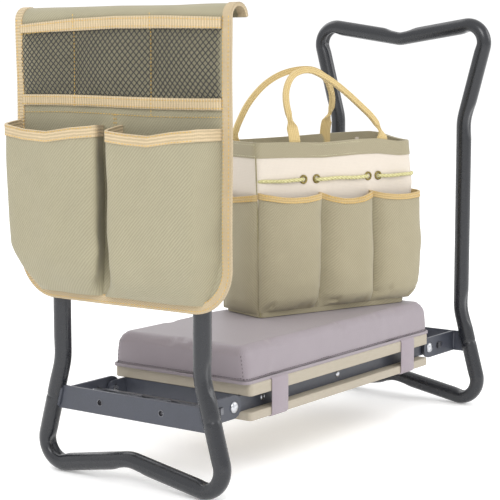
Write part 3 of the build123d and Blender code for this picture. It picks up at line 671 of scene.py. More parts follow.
def press_bent_tube(side, half, radii, dent):
    """A loop of tube in its frame's plane. Each bend is pinched on its inner side by the press."""
    both = [(-y, z) for y, z in reversed(half)] + list(half[1:])
    corners = [(FRAME_X[side], y * MM, z * MM) for y, z in both]
    bend_radii = [r * MM for r in [*reversed(radii[1:]), *radii]]
    path, bends = rounded_path(corners, bend_radii, TUBE_STEP)
    tangent = unit(np.gradient(path, axis=0))
    across = np.array([1.0, 0, 0])
    up = unit(np.cross(tangent, across))
    sides = 36
    turn = np.arange(sides) * TAU / sides
    radius = np.full((len(path), sides), TUBE_R)
    for spot, bend_radius, sweep in bends:
        near = np.linalg.norm(path - spot, axis=1)
        k = int(np.argmin(near))
        before, after = path[max(k - 6, 0)], path[min(k + 6, len(path) - 1)]
        inwards = unit((before + after) / 2 - path[k])
        towards = math.atan2(inwards @ up[k], inwards @ across)
        depth = dent * min(1, 0.35 + sweep / 0.9) * (1.0 if bend_radius < LONG_BEND else 0.85)
        gap = (turn - towards + math.pi) % TAU - math.pi
        pinch = np.exp(-(near[:, None] / PRESS_REACH) ** 4)
        pinch = pinch * np.exp(-(gap[None] / PRESS_TURN) ** 2)
        radius = radius - depth * pinch
    run = run_of(path)
    end = np.minimum(run, run[-1] - run)
    radius = radius - (0.6 * MM * np.clip(1 - end / (1.2 * MM), 0, 1))[:, None]
    ring = np.cos(turn)[None, :, None] * across + np.sin(turn)[None, :, None] * up[:, None]
    return solid_rings(path[:, None] + ring * radius[..., None])


def weld_bead(points, radius):
    """A run of weld: a rippled bead."""
    path = spaced(points, 40)
    ripple = 1 + 0.12 * np.sin(np.arange(40) * 1.6)
    ends = np.clip(np.minimum(np.arange(40), np.arange(40)[::-1]) / 3, 0.3, 1)
    return round_bar(path, radius * ripple * ends, facing=(1, 0, 0), sides=10)


def build_frames(sizes):
    handle = [TOP_MIDDLE, TOP_CORNER, UPPER_WAIST, LOWER_WAIST, JOINT]
    foot = [FOOT_MIDDLE, FOOT_CORNER, JOINT]
    for side, inward in (("left", 1), ("right", -1)):
        body = f"{side}_frame"
        upper = press_bent_tube(side, handle, HANDLE_BENDS, sizes.dent)
        made = piece(f"{side}_handle_loop", [upper], FINISHES["paint"])
        settle(made, body, "painted_tube", f"{side}_handle_tube")
        lower = press_bent_tube(side, foot, FOOT_BENDS, sizes.dent)
        made = piece(f"{side}_foot_loop", [lower], FINISHES["paint"])
        settle(made, body, "painted_tube", f"{side}_foot_tube")
        beads = []
        low, high = PIVOT_Z - WELD_REACH, PIVOT_Z + WELD_REACH
        slope = (FOOT_CORNER[0] - LOWER_WAIST[0]) / (LOWER_WAIST[1] - FOOT_CORNER[1])
        for hand in (-1, 1):
            for face in (-1, 1):
                x = FRAME_X[side] + face * 2.3 * MM
                ends = [(x, hand * (96.9 * MM - (z - PIVOT_Z) * slope), z) for z in (low, high)]
                beads.append(weld_bead(ends, WELD_R))
            x = FRAME_X[side] + inward * 2.0 * MM
            ends = [(x, hand * 85.4 * MM, z) for z in (low, high)]
            beads.append(weld_bead(ends, PLATE_WELD_R))
        made = piece(f"{side}_weld_beads", beads, FINISHES["bar"])
        settle(made, body, "painted_flat_bar")
        bushes = []
        for y in (-HOLE_Y, HOLE_Y):
            turn = np.arange(28) * TAU / 28
            rows = [np.column_stack([np.full(28, FRAME_X[side] - inward * (BUSH_PROUD - run)),
                                     y + BUSH_R * np.cos(turn), PIVOT_Z + BUSH_R * np.sin(turn)])
                    for run in np.linspace(0, BUSH_LENGTH, 8)]
            bushes.append(cloth(np.array(rows), BUSH_WALL, (FRAME_X[side], y, PIVOT_Z), wrap=True,
                                stand=-BUSH_WALL))
        made = piece(f"{side}_plate_bushes", bushes, FINISHES["bare"])
        settle(made, body, "bare_steel")
        paint_nodes(FINISHES["bar"], f"{side}_cross_plate", f"{side}_arm_front",
                    f"{side}_arm_back", f"{side}_lock_guides")
        paint_nodes(FINISHES["bare"], f"{side}_joint_sleeves", f"{side}_lock_bar",
                    f"{side}_lock_springs")


def build_hardware(sizes):
    low, high = box("pivot_rivets")
    spots = []
    for x in (low[0] + sizes.rivet_head, high[0] - sizes.rivet_head):
        for hand, y in ((-1, low[1] + 2.2 * MM), (1, high[1] - 2.2 * MM)):
            spots.append(((x, y, PIVOT_Z), (0, hand, 0)))
    made = grown("pivot_rivet_heads", spots_mesh("pivots", spots), rivet_tree(), FINISHES["zinc"],
                 head_radius=sizes.rivet_head, dome=2.9 * MM, shank_radius=4 * MM, shank=9.5 * MM)
    settle(made, "seat", "zinc", "pivot_rivets")
    low, high = box("rail_rivets")
    middle = (low[2] + high[2]) / 2
    spots = []
    for x in (low[0] + 3.7 * MM, (low[0] + high[0]) / 2, high[0] - 3.7 * MM):
        for hand, y in ((-1, low[1] + 1.2 * MM), (1, high[1] - 1.2 * MM)):
            spots.append(((x, y, middle), (0, hand, 0)))
    made = grown("rail_rivet_heads", spots_mesh("rail_spots", spots), rivet_tree(),
                 FINISHES["zinc"], head_radius=3.7 * MM, dome=1.7 * MM, shank_radius=2.5 * MM,
                 shank=4 * MM)
    settle(made, "seat", "zinc", "rail_rivets")
    paint_nodes(FINISHES["nylon"], "pivot_washers")


def build_seat():
    paint_nodes(FINISHES["board"], "seat_board_top", "seat_board_bottom")
    paint_nodes(FINISHES["bar"], "seat_rail_front", "seat_rail_back", "seat_end_plate_left",
                "seat_end_plate_right")
    paint_nodes(FINISHES["zinc"], "board_bolts")
    paint_nodes(FINISHES["hook"], "pad_closure_left", "pad_closure_right")


# --- pad ----------------------------------------------------------------------------------------
def laid_on(rows, made, rise):
    """Rows of points moved onto a piece's surface, and this far out of it."""
    surface = BVHTree.FromPolygons([v.co for v in made.data.vertices],
                                   [face.vertices for face in made.data.polygons])
    laid = []
    for row in rows:
        hits = [surface.find_nearest(Vector(p)) for p in spaced(np.array(row, float), 400)]
        laid.append([tuple(spot + normal * rise) for spot, normal, _, _ in hits])
    return laid


def pad_outline(inset, z, count=420):
    half_x = (PAD_HIGH[0] - PAD_LOW[0]) / 2 - inset
    half_y = (PAD_HIGH[1] - PAD_LOW[1]) / 2 - inset
    middle = (PAD_LOW + PAD_HIGH) / 2
    corners = [(-half_x, -half_y), (half_x, -half_y), (half_x, half_y), (-half_x, half_y)]
    ring = rounded_ring(corners, [max(5.5 * MM - inset / 2, 2 * MM)] * 4, count)
    return np.column_stack([ring + middle[:2], np.full(count, z)])


def face_uv(mesh):
    """A UV map in metres, each face laid flat along its main direction."""
    layer = mesh.uv_layers.new(name="UVMap")
    for face in mesh.polygons:
        main = int(np.argmax(np.abs(face.normal)))
        a, b = [(1, 2), (0, 2), (0, 1)][main]
        for loop in face.loop_indices:
            spot = mesh.vertices[mesh.loops[loop].vertex_index].co
            layer.data[loop].uv = (spot[a], spot[b])


def evaluated_mesh(made):
    graph = bpy.context.evaluated_depsgraph_get()
    return bpy.data.meshes.new_from_object(made.evaluated_get(graph), depsgraph=graph)


PAD_FLARE = 7.5 * MM     # how far the soft cover spreads over the boards, past its foam
PAD_EDGE = 10 * MM       # radius of the cover's top edge
PAD_MESH = 4 * MM        # spacing of the even mesh that the cover is puffed up on
PUFF_STEPS = 20          # frames of the puffing
PUFF_LIMIT = 2.5 * MM    # the most that the puffing may move the cover


def build_pad(sizes):
    rings = []
    low, high = PAD_LOW[2], PAD_HIGH[2]
    rings.append(pad_outline(30 * MM, low))
    rings.append(pad_outline(0, low))
    for share in np.linspace(0.03, 0.74, 10):
        swell = 0.9 * MM * math.sin(math.pi * share)
        rings.append(pad_outline(-1.4 * MM - swell, low + share * (high - low)))
    for turn in np.linspace(0.1, 1, 8) * math.pi / 2:
        inset = PAD_EDGE * (1 - math.cos(turn)) - 1.3 * MM
        rings.append(pad_outline(inset, high - PAD_EDGE * (1 - math.sin(turn)) - 0.4 * MM))
    rings.append(pad_outline(35 * MM, high - 0.2 * MM))
    made = piece("pad", [solid_rings(np.array(rings))], FINISHES["cover"])
    remesh = made.modifiers.new("even_mesh", "REMESH")
    remesh.mode = "VOXEL"
    remesh.voxel_size = PAD_MESH
    bpy.context.view_layer.update()
    made.data = evaluated_mesh(made)
    made.modifiers.clear()
    before = np.array([v.co[:] for v in made.data.vertices])
    after = before.copy()
    puff = made.modifiers.new("puff", "CLOTH")
    puff.settings.quality = 5
    puff.settings.mass = 0.3
    puff.settings.tension_stiffness = 25
    puff.settings.compression_stiffness = 25
    puff.settings.bending_stiffness = 2.0
    puff.settings.use_pressure = True
    puff.settings.uniform_pressure_force = 4.0
    puff.settings.effector_weights.gravity = 0
    puff.point_cache.frame_end = PUFF_STEPS
    for step in range(1, PUFF_STEPS + 1):
        bpy.context.scene.frame_set(step)
    after = np.array([v.co[:] for v in evaluated_mesh(made).vertices])
    made.modifiers.clear()
    bpy.context.scene.frame_set(1)
    soft = before + np.clip(after - before, -PUFF_LIMIT, PUFF_LIMIT)
    middle = (PAD_LOW + PAD_HIGH) / 2
    half = (PAD_HIGH - PAD_LOW) / 2
    place = (soft - middle) / half
    # The top is crowned, and creased most along its long edges.
    crown = np.clip(1 - np.abs(place[:, 0]) ** 6, 0, 1)
    crown = crown * np.clip(1 - np.abs(place[:, 1]) ** 4, 0, 1)
    top = place[:, 2] > 0.55
    soft[:, 2] += np.where(top, 1.0 * MM * crown - 0.9 * MM, 0)
    rough = [noise.noise(Vector(p / (34 * MM))) + 0.5 * noise.noise(Vector(p / (13 * MM)))
             for p in soft]
    edges = np.clip(np.abs(place[:, 1]) - 0.55, 0, 1) * 1.6 + 0.25
    soft[:, 2] += np.where(top, 0.8 * MM * np.array(rough) * edges, 0)
    soft[:, 1] += np.sign(place[:, 1]) * np.where(np.abs(place[:, 1]) > 0.9,
                                                  0.5 * MM * np.array(rough), 0)
    reach = half + np.array([0.3, 0.4, 0.0]) * MM
    soft = np.clip(soft, middle - reach, middle + reach)
    # The cover spreads towards its hem.
    drop = np.clip((PAD_HIGH[2] - soft[:, 2]) / (PAD_HIGH[2] - PAD_LOW[2]), 0, 1)
    soft[:, 1] += PAD_FLARE * place[:, 1] * (0.25 + 0.75 * drop)
    soft[:, 2] = np.clip(soft[:, 2], PAD_LOW[2] + 0.1 * MM, PAD_HIGH[2] + 0.3 * MM)
    made.data.vertices.foreach_set("co", soft.ravel())
    made.data.update()
    face_uv(made.data)
    made.data.materials.clear()
    made.data.materials.append(FINISHES["cover"])
    made.data.shade_smooth()
    settle(made, "seat", "pad_cover_fabric", "pad_cover", "pad_foam")
    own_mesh(made)
    hem_path = pad_outline(-0.2 * MM, PAD_LOW[2] + 1.6 * MM)
    hem_path[:, 1] += PAD_FLARE * np.clip((hem_path[:, 1] - middle[1]) / half[1], -1, 1)
    along = unit(np.roll(hem_path, -1, axis=0) - np.roll(hem_path, 1, axis=0))
    outward = unit(np.cross(along, (0, 0, 1)))
    hem = piece("pad_hem", [webbing(hem_path, outward, 3.4 * MM, 2.0 * MM, wrap=True)],
                FINISHES["cover"])
    settle(hem, "seat", "pad_cover_fabric")
    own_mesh(hem)
    rows = []
    ring = pad_outline(-0.5 * MM, PAD_LOW[2] + 5.2 * MM)
    ring[:, 1] += 0.9 * PAD_FLARE * np.clip((ring[:, 1] - middle[1]) / half[1], -1, 1)
    rows.append(np.concatenate([ring, ring[:1]]))
    for sx in (-1, 1):
        for sy in (-1, 1):
            x = middle[0] + sx * (half[0] + 0.4 * MM)
            y = middle[1] + sy * (half[1] - 3.4 * MM)
            rows.append([(x, y + sy * 0.9 * PAD_FLARE, PAD_LOW[2] + 4 * MM),
                         (x, y + sy * 0.45 * PAD_FLARE, PAD_HIGH[2] - 9 * MM)])
    rows = laid_on(rows, made, 0.15 * MM)
    made = sewn("pad_stitches", rows, FINISHES["dark_thread"], sizes, "seat", "pad_cover_fabric")
    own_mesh(made)


def build_straps():
    for side in ("left", "right"):
        low, high = box(f"pad_strap_{side}")
        x = (low[0] + high[0]) / 2
        half_y = high[1] - 0.8 * MM
        foot, head = low[2] + 0.7 * MM, high[2] - 0.7 * MM
        corners = [(x, PAD_HIGH[1] - 1 * MM, head + 1.2 * MM), (x, half_y, head), (x, half_y, foot),
                   (x, -half_y, foot), (x, -half_y, head), (x, PAD_LOW[1] + 1 * MM, head + 1.2 * MM)]
        path, _ = rounded_path(corners, [3 * MM, 4 * MM, 4 * MM, 3 * MM], 1.2 * MM)
        tangent = unit(np.gradient(path, axis=0))
        facing = np.cross(tangent, (1, 0, 0))
        strap = webbing(path, facing, high[0] - low[0], 1.5 * MM)
        made = piece(f"pad_webbing_{side}", [strap], FINISHES["strap"])
        settle(made, "seat", "strap_webbing", f"pad_strap_{side}")


# --- pouch --------------------------------------------------------------------------------------
PANEL_LOW, PANEL_HIGH = box("pouch_panel")
PANEL_HALF = (PANEL_HIGH[1] - PANEL_LOW[1]) / 2
PANEL_CORNER = 48 * MM
FOLD_R = (PANEL_HIGH[0] - PANEL_LOW[0]) / 2 - 1 * MM
FOLD_X = (PANEL_HIGH[0] + PANEL_LOW[0]) / 2
FOLD_Z = PANEL_HIGH[2] - FOLD_R - 1 * MM
PANEL_MID_X = POUCH_X + 1 * MM


def panel_width_at(z):
    """Half the panel's width at a height: its lower corners are round."""
    drop = np.clip(PANEL_LOW[2] + PANEL_CORNER - z, 0, PANEL_CORNER)
    return PANEL_HALF - PANEL_CORNER + np.sqrt(PANEL_CORNER ** 2 - drop ** 2)


def panel_sway(y, z):
    """The panel's soft lie: it hangs a little in and out between its seams."""
    hang = np.clip((FOLD_Z - z) / (60 * MM), 0, 1)
    across = np.sin(y / (31 * MM) + 0.7)
    return 0.9 * MM * hang * (across + 0.6 * np.sin(z / (27 * MM) + y / (60 * MM)))


def pouch_place(d, y, z):
    """A point of the pouch: d outwards from its panel."""
    d, y, z = np.broadcast_arrays(d, y, z)
    return np.stack([POUCH_X - d - panel_sway(y, z), y, z], axis=-1)


def build_pouch_panel(sizes):
    columns = np.linspace(-1, 1, 97)
    rows = []
    for turn in np.linspace(0.0, math.pi, 15)[:-1]:
        x = FOLD_X + FOLD_R * math.cos(turn)
        z = FOLD_Z + FOLD_R * math.sin(turn)
        rows.append(np.column_stack([np.full(97, x), columns * PANEL_HALF, np.full(97, z)]))
    for z in np.concatenate([np.linspace(FOLD_Z, 240 * MM, 60), np.linspace(237, 192, 24) * MM,
                             [PANEL_LOW[2] + 0.1 * MM]]):
        y = columns * panel_width_at(z)
        rows.append(np.column_stack([PANEL_MID_X - panel_sway(y, z), y, np.full(97, z)]))
    away = (0, 0, 0.3)
    panel = cloth(np.array(rows), 1.6 * MM, away, stand=-0.8 * MM, ruffle=(0.7 * MM, 45 * MM))
    made = piece("pouch_back_panel", [panel], FINISHES["canvas"])
    settle(made, "left_frame", "pouch_fabric", "pouch_panel")
    low, high = box("pouch_flap")
    half = (high[1] - low[1]) / 2
    across = np.linspace(-half, half, 49)
    drops = [(high[0] - 1 * MM, high[2]), (high[0] - 1 * MM, high[2] - 24 * MM),
             (low[0] + 1 * MM, low[2] + 20 * MM), (low[0] + 1 * MM, low[2])]
    line = spaced(softened(np.array(drops), 3), 40)
    rows = [np.column_stack([np.full(49, x), across, np.full(49, z)]) for x, z in line]
    flap = cloth(np.array(rows), 1.6 * MM, (-1, 0, 0.4), stand=-0.8 * MM,
                 ruffle=(0.6 * MM, 40 * MM))
    made = piece("pouch_turned_flap", [flap], FINISHES["canvas"])
    settle(made, "left_frame", "pouch_fabric", "pouch_flap")
    paint_nodes(FINISHES["hook"], "pouch_hook_strip", "pouch_loop_strip")
    # binding round the two sides and the foot
    inset = 4.4 * MM
    foot = PANEL_LOW[2] + inset
    half = PANEL_HALF - inset
    corners = [(half, FOLD_Z), (half, foot), (-half, foot), (-half, FOLD_Z)]
    flat, _ = rounded_path(corners, [PANEL_CORNER - inset] * 2, 0.85 * MM)
    path = np.column_stack([PANEL_MID_X - panel_sway(flat[:, 0], flat[:, 1]), flat])
    over = []
    for turn in np.linspace(0.05, math.pi, 30):
        over.append((FOLD_X + FOLD_R * math.cos(turn), half, FOLD_Z + FOLD_R * math.sin(turn)))
    over = spaced(np.array(over), math.ceil(FOLD_R * math.pi / (0.85 * MM)))
    path = np.concatenate([over[:-1], path, (over * (1, -1, 1))[::-1][1:]])
    tangent = unit(np.gradient(path, axis=0))
    inwards = np.column_stack([np.zeros(len(path)), -path[:, 1], 300 * MM - path[:, 2]])
    corner = (np.abs(path[:, 1]) > half - 1e-6) & (path[:, 2] > foot + PANEL_CORNER)
    inwards[corner] = np.column_stack([np.zeros(corner.sum()), -path[corner, 1],
                                       np.zeros(corner.sum())])
    facing = np.cross(tangent, unit(inwards))
    binding = webbing(path, facing, 10.6 * MM, 3.6 * MM, sizes.rib_pitch, 0.07)
    made = piece("pouch_binding", [binding], FINISHES["trim"])
    settle(made, "left_frame", "binding_tape", "pouch_edge_binding")
    # stitch rows on the binding and down the panel
    rows = []
    for back in (1.9, 8.6):
        inset = back * MM
        half = PANEL_HALF - inset
        foot = PANEL_LOW[2] + inset
        corners = [(half, FOLD_Z), (half, foot), (-half, foot), (-half, FOLD_Z)]
        flat, _ = rounded_path(corners, [PANEL_CORNER - inset] * 2, 2 * MM)
        x = PANEL_MID_X - panel_sway(flat[:, 0], flat[:, 1]) - 1.9 * MM
        rows.append(np.column_stack([x, flat]))
    for y, top, foot in ((57, 484, 393), (-44, 484, 385), (2, 384, 372), (4.6, 384, 372)):
        z = np.linspace(top, foot, 30) * MM
        lift = (np.where(z > 470 * MM, 3.6 * MM, np.where(z > 402 * MM, 1.9 * MM, 2.4 * MM))
                if abs(y) > 10 else np.full(30, 0.6 * MM))
        rows.append(pouch_place(lift, np.full(30, y * MM), z))
    y = np.linspace(-128, 131, 90) * MM
    rows.append(pouch_place(0.6 * MM, y, 384.5 * MM + 1.2 * MM * np.sin(y / (40 * MM))))
    sewn("pouch_stitches", rows, FINISHES["thread"], sizes, "left_frame", "binding_tape")


def net_top(y):
    """Top edge of the tool net's tape: it rises between its two ends."""
    return np.interp(y, np.array([-130, -60, 0, 60, 133]) * MM,
                     np.array([479.5, 482, 482.4, 480.5, 475.4]) * MM)


NET_FOOT, NET_HEIGHT, NET_WIDTH = 396 * MM, 76 * MM, 262 * MM
NET_TAPE_Z = 397 * MM


def build_pouch_net(sizes):
    half = sizes.net_pitch / math.sqrt(2)
    across = np.arange(-NET_WIDTH / 2, NET_WIDTH / 2, half)
    rows = []
    levels = round(NET_HEIGHT / half)
    for share in np.linspace(0, 1, levels + 1):
        z = NET_FOOT + share * (net_top(across) - 8 * MM - NET_FOOT)
        held = np.abs(np.sin((across - 57 * MM) / (101 * MM) * math.pi))
        free = min(max(share - 0.1, 0) / 0.9, 1)     # the foot tape holds the lowest tenth
        bow = 5.5 * MM * math.sin(math.pi * free) ** 0.7 * held
        rows.append(pouch_place(1.2 * MM + bow, across, z))
    rows = np.array(rows)
    columns = len(across)
    cells = [(i * columns + j - 1, (i - 1) * columns + j, i * columns + j + 1,
              (i + 1) * columns + j)
             for i in range(1, levels) for j in range(1, columns - 1) if (i + j) % 2]
    mesh = bpy.data.meshes.new("net_cells")
    mesh.from_pydata(rows.reshape(-1, 3).tolist(), [], cells)
    made = grown("pouch_tool_net", mesh, net_tree(), FINISHES["net"], hole_share=0.79)
    wall = made.modifiers.new("strand", "SOLIDIFY")
    wall.thickness = 0.5 * MM
    wall.offset = 0
    bpy.context.view_layer.update()
    made.data = evaluated_mesh(made)
    made.modifiers.clear()
    settle(made, "left_frame", "net", "pouch_net")
    y = np.arange(-131, 132.5, 0.8) * MM
    fade = np.interp(y, np.array([-131, -60, 60, 132]) * MM, np.array([11, 12.5, 12.5, 9]) * MM)
    top = pouch_place(2.4 * MM, y, net_top(y) - fade / 2)
    band = webbing(top, (-1, 0, 0), fade, 2.0 * MM, sizes.rib_pitch, 0.09)
    made = piece("pouch_net_top_binding", [band], FINISHES["trim"])
    settle(made, "left_frame", "binding_tape", "pouch_net_top_tape")
    low = pouch_place(1.3 * MM, y, NET_TAPE_Z + 0.8 * MM * np.sin(y / (45 * MM)))
    band = webbing(low, (-1, 0, 0), 11.5 * MM, 1.6 * MM, sizes.rib_pitch, 0.1)
    made = piece("pouch_net_foot_binding", [band], FINISHES["trim"])
    settle(made, "left_frame", "binding_tape", "pouch_net_bottom_tape")
    rows = []
    for drop in (2.2, -2.6):
        rows.append(pouch_place(3.6 * MM, y[::4], net_top(y[::4]) - 6 * MM + drop * MM * 1.6))
        rows.append(pouch_place(2.3 * MM, y[::4], NET_TAPE_Z + drop * MM * 1.5
                                + 0.8 * MM * np.sin(y[::4] / (45 * MM))))
    sewn("pouch_net_stitches", rows, FINISHES["thread"], sizes, "left_frame", "binding_tape")


# Each pouch pocket's outline seen from above, at its mouth and at its foot: (out, across).
POCKETS = {
    "back": ([(-0.5, 137), (12, 136.5), (31, 131), (34, 122), (34, 106), (35.5, 62), (34, 22),
              (32, 7), (26, 4.5), (12, 14), (-0.5, 20)],
             [(-0.5, 108), (3, 108), (6, 105), (7, 98), (7.5, 88), (8, 62), (7.5, 40), (7, 30),
              (5, 26), (2, 23), (-0.5, 21.8)],
             [(137, 375.8), (125, 372.5), (106, 368), (62, 366.5), (22, 371), (6, 374), (20, 372.5)]),
    "front": ([(-0.5, -4.5), (14, -5), (31, -8), (33.5, -16), (34, -28), (35.5, -72), (34.5, -106),
               (33.5, -118), (29, -121), (12, -126), (-0.5, -129)],
              [(-0.5, 19), (3, 17), (6, 12), (7, 4), (7.5, -10), (8, -48), (7.5, -80), (6.5, -97),
               (5, -101), (2, -105), (-0.5, -108)],
              [(-4, 373.6), (-12, 369.5), (-28, 366.8), (-72, 365.5), (-106, 370), (-118, 372.9),
               (-128, 372.8)]),
}


def pocket_grid(depth, low_share, high_share, levels):
    """The cloth of a pouch pocket between two shares of its height."""
    mouth, foot, rim = POCKETS[depth]
    count = 84
    mouth = spaced(softened(np.array(mouth, float), 2), count) * MM
    foot = spaced(softened(np.array(foot, float), 3), count) * MM
    spread = np.linspace(0, len(rim) - 1, count)
    top = np.interp(spread, range(len(rim)), [z for _, z in rim]) * MM
    low = 199 * MM
    rows = []
    for share in np.linspace(low_share, high_share, levels):
        full = np.interp(share, [0, 0.04, 0.11, 0.22, 0.4, 1], [0, 0.22, 0.5, 0.78, 0.96, 1])
        slide = np.interp(share, [0, 0.06, 0.15, 0.28, 1], [0, 0.32, 0.68, 0.95, 1])
        d = foot[:, 0] + (mouth[:, 0] - foot[:, 0]) * full
        y = foot[:, 1] + (mouth[:, 1] - foot[:, 1]) * slide
        z = low + share * (top - low)
        rows.append(pouch_place(d, y, z))
    return np.array(rows)


def build_pouch_pockets(sizes):
    rows = []
    for depth in POCKETS:
        sheet = pocket_grid(depth, 0, 1, 46)
        behind = sheet.reshape(-1, 3).mean(axis=0) + np.array([0.3, 0, 0])
        bag = cloth(sheet, 1.5 * MM, behind, stand=-1.5 * MM, ruffle=(1.3 * MM, 30 * MM))
        made = piece(f"pouch_{depth}_pocket", [bag], FINISHES["canvas"])
        settle(made, "left_frame", "pouch_fabric", f"pouch_pocket_{depth}")
        edge = pocket_grid(depth, 0.937, 1.004, 6)
        tape = cloth(edge, 3.0 * MM, behind, stand=-2.1 * MM)
        made = piece(f"pouch_{depth}_pocket_binding", [tape], FINISHES["trim"])
        settle(made, "left_frame", "binding_tape", f"pouch_pocket_tape_{depth}")
        line = pocket_grid(depth, 0.945, 0.995, 2)
        for row in line:
            out = row.copy()
            out[:, 0] -= 1.1 * MM
            rows.append(out[8:-8])
    sewn("pouch_pocket_stitches", rows, FINISHES["thread"], sizes, "left_frame", "binding_tape")


# --- tote bag -----------------------------------------------------------------------------------
TOTE_Z = BASE_LOW[2] - 2 * MM
TOTE_TOP = box("tote_rim_band")[1][2]
CREAM_Z, RIM_Z = 268 * MM, 326 * MM


def tote_sides(z):
    """How far the bag's four sides stand from its middle at a height: left, right, front, back."""
    z = z / MM
    left = np.interp(z, [142, 344], [-111.6, -116])
    right = np.interp(z, [142, 200, 290, 344], [111, 117, 126, 119])
    front = np.interp(z, [142, 344], [-38, -33.8])
    back = np.interp(z, [142, 344], [39, 33.5])
    back_right = np.interp(z, [142, 344], [26, 31])
    return left * MM, right * MM, front * MM, back * MM, back_right * MM


def tote_ring(z, count=176):
    left, right, front, back, back_right = tote_sides(z)
    corners = [(left, front), (right, front), (right - 3 * MM, back_right), (left, back)]
    ring = rounded_ring(corners, [5 * MM, 15 * MM, 18 * MM, 13 * MM], count)
    s, w = ring[:, 0], ring[:, 1]
    height = (z - TOTE_Z) / (TOTE_TOP - TOTE_Z)
    end = np.abs(w) > 0.8 * np.abs(front)
    wave = 0.9 * MM * height * np.sin(s / (21 * MM) + 5 * height) * end
    swell = np.where(w > 0, 3.0, 0) * MM * math.sin(math.pi * min(height, 1)) * np.cos(
        np.clip(s / (112 * MM), -1, 1) * math.pi / 2)
    w = w + wave + swell
    rim = np.interp(s / MM, [-118, -70, -20, 33, 64, 96, 112], [0.8, 0, -2, 0.6, 0.6, -3.6, -3])
    share = np.clip((w / MM + 30) / 60, 0, 1) ** 2
    rim = rim * (1 - share) + share * (3.5 + 2.5 * np.sin(s / (70 * MM)))
    lift = rim * MM * np.clip((height - 0.6) / 0.4, 0, 1)
    return tote_place(s, w, z + lift)


def tote_band(low, high, step=5 * MM):
    """Rings round the bag's wall from one height to another."""
    levels = np.linspace(low, high, max(3, round((high - low) / step) + 1))
    return np.array([tote_ring(z) for z in levels])


def build_tote_shell(sizes):
    middle = tote_place(np.array(0.0), np.array(0.0), np.array(0.24))
    walls = tote_band(TOTE_Z, CREAM_Z + 1 * MM)
    centre = walls[0].mean(axis=0)
    floor = [centre + (walls[0] - centre) * share for share in (0.25, 0.6, 0.9, 0.985)]
    rows = np.concatenate([np.array(floor), walls + (0, 0, 0.3 * MM)])
    shell = cloth(rows, 1.8 * MM, middle, wrap=True, stand=-1.8 * MM, floor=True,
                  ruffle=(0.5 * MM, 40 * MM))
    made = piece("tote_shell", [shell], FINISHES["tote"])
    settle(made, "tote", "tote_fabric", "tote_body", sinks=True)
    rows = tote_band(CREAM_Z - 1 * MM, RIM_Z + 2 * MM)
    band = cloth(rows, 2.6 * MM, middle, wrap=True, stand=-2.0 * MM, ruffle=(0.5 * MM, 40 * MM))
    made = piece("tote_cream_panel", [band], FINISHES["cream"])
    settle(made, "tote", "cream_fabric", "tote_cream_band", sinks=True)
    rows = tote_band(RIM_Z, TOTE_TOP, 3 * MM)
    band = cloth(rows, 3.8 * MM, middle, wrap=True, stand=-2.5 * MM, ruffle=(0.5 * MM, 40 * MM))
    made = piece("tote_rim", [band], FINISHES["tote"])
    settle(made, "tote", "tote_fabric", "tote_rim_band", sinks=True)
    rows = []
    for z in (RIM_Z + 2.4 * MM, TOTE_TOP - 2.6 * MM):
        ring = tote_ring(z)
        out = unit((ring - middle) * (1, 1, 0))
        ring = ring + out * 1.5 * MM
        rows.append(np.concatenate([ring, ring[:1]]))
    sewn("tote_rim_stitches", rows, FINISHES["light_thread"], sizes, "tote", "tote_fabric",
         sinks=True)
    # A seam ridge down the bag's front left corner, coloured darker than the canvas: painted shade of
    # the corner's fold.
    z = np.linspace(TOTE_Z + 1 * MM, TOTE_TOP - 1 * MM, 60)
    left, _, front, _, _ = tote_sides(z)
    line = tote_place(left + 0.9 * MM, front + 0.9 * MM, z)
    seam = webbing(line, TOTE_U + TOTE_N, 1.3 * MM, 1.5 * MM)
    made = piece("tote_corner_seam", [seam], FINISHES["seam"])
    settle(made, "tote", "tote_fabric", sinks=True)
    paint_nodes(FINISHES["plastic"], "tote_base_board")


# Outlines of the tote's pockets from above, (along, out from the face), and their mouths' heights.
FRONT_LOBES = [
    ([(-112.5, -1), (-112, 4), (-106, 9), (-90, 13), (-50, 14.5), (-34, 12.5), (-26, 7), (-24, 0.9)],
     [286.8, 284, 281, 279.9, 280, 282, 283.5]),
    ([(-24, 0.9), (-22, 2), (-16, 9), (-8, 14), (5, 17), (34, 17), (46, 13), (50, 6), (51, 0.9)],
     [283.5, 279, 276, 275.5, 277, 281, 282.5]),
    ([(50.7, 0.9), (52.5, 3), (58, 10), (66, 15), (80, 17), (108, 15.5), (120, 10), (123, 2),
      (119, -8), (106, -13)],
     [282.5, 279, 277, 276.6, 278, 280, 282]),
]
BACK_LOBES = [
    ([(-112, -1), (-108, 4), (-92, 8), (-50, 9), (-32, 6), (-27, 1.4)], [284, 279, 283]),
    ([(-27, 1.4), (-22, 6), (0, 9), (30, 9), (46, 6), (50, 1.4)], [283, 277, 283]),
    ([(50, 1.4), (54, 6), (70, 8), (95, 7), (106, 3), (109, -2)], [283, 278, 284]),
]
LEFT_LOBES = [([(-35, -1), (-32, 4), (-18, 9), (14, 9.5), (30, 6), (37, -1)], [284.5, 280, 284])]
RIGHT_LOBES = [([(-18, -1), (-14, 5), (-2, 9), (12, 8), (22, 4), (25, -2)], [283, 279, 284])]


# Tucks at the pockets' feet, each from one point of the front to another: (along, height).
TUCKS = [((-110, 149), (-99, 156)), ((-31, 148), (-27, 168)), ((-19, 154), (-4, 156)),
         ((56, 160), (72, 163)), ((108, 152), (122, 164)), ((-60, 151), (-44, 153)),
         ((20, 151), (36, 154))]


def tuck_depth(along, z):
    """How far the tucks draw the cloth in."""
    depth = np.zeros_like(along)
    for start, end in TUCKS:
        start, run = np.array(start, float), np.array(end, float) - start
        spot = np.column_stack([along, z]) - start
        share = np.clip(spot @ run / (run @ run), 0, 1)
        gap = np.linalg.norm(spot - share[:, None] * run, axis=1)
        depth = np.maximum(depth, 3.6 * np.exp(-(gap / 2.6) ** 2))
    return depth


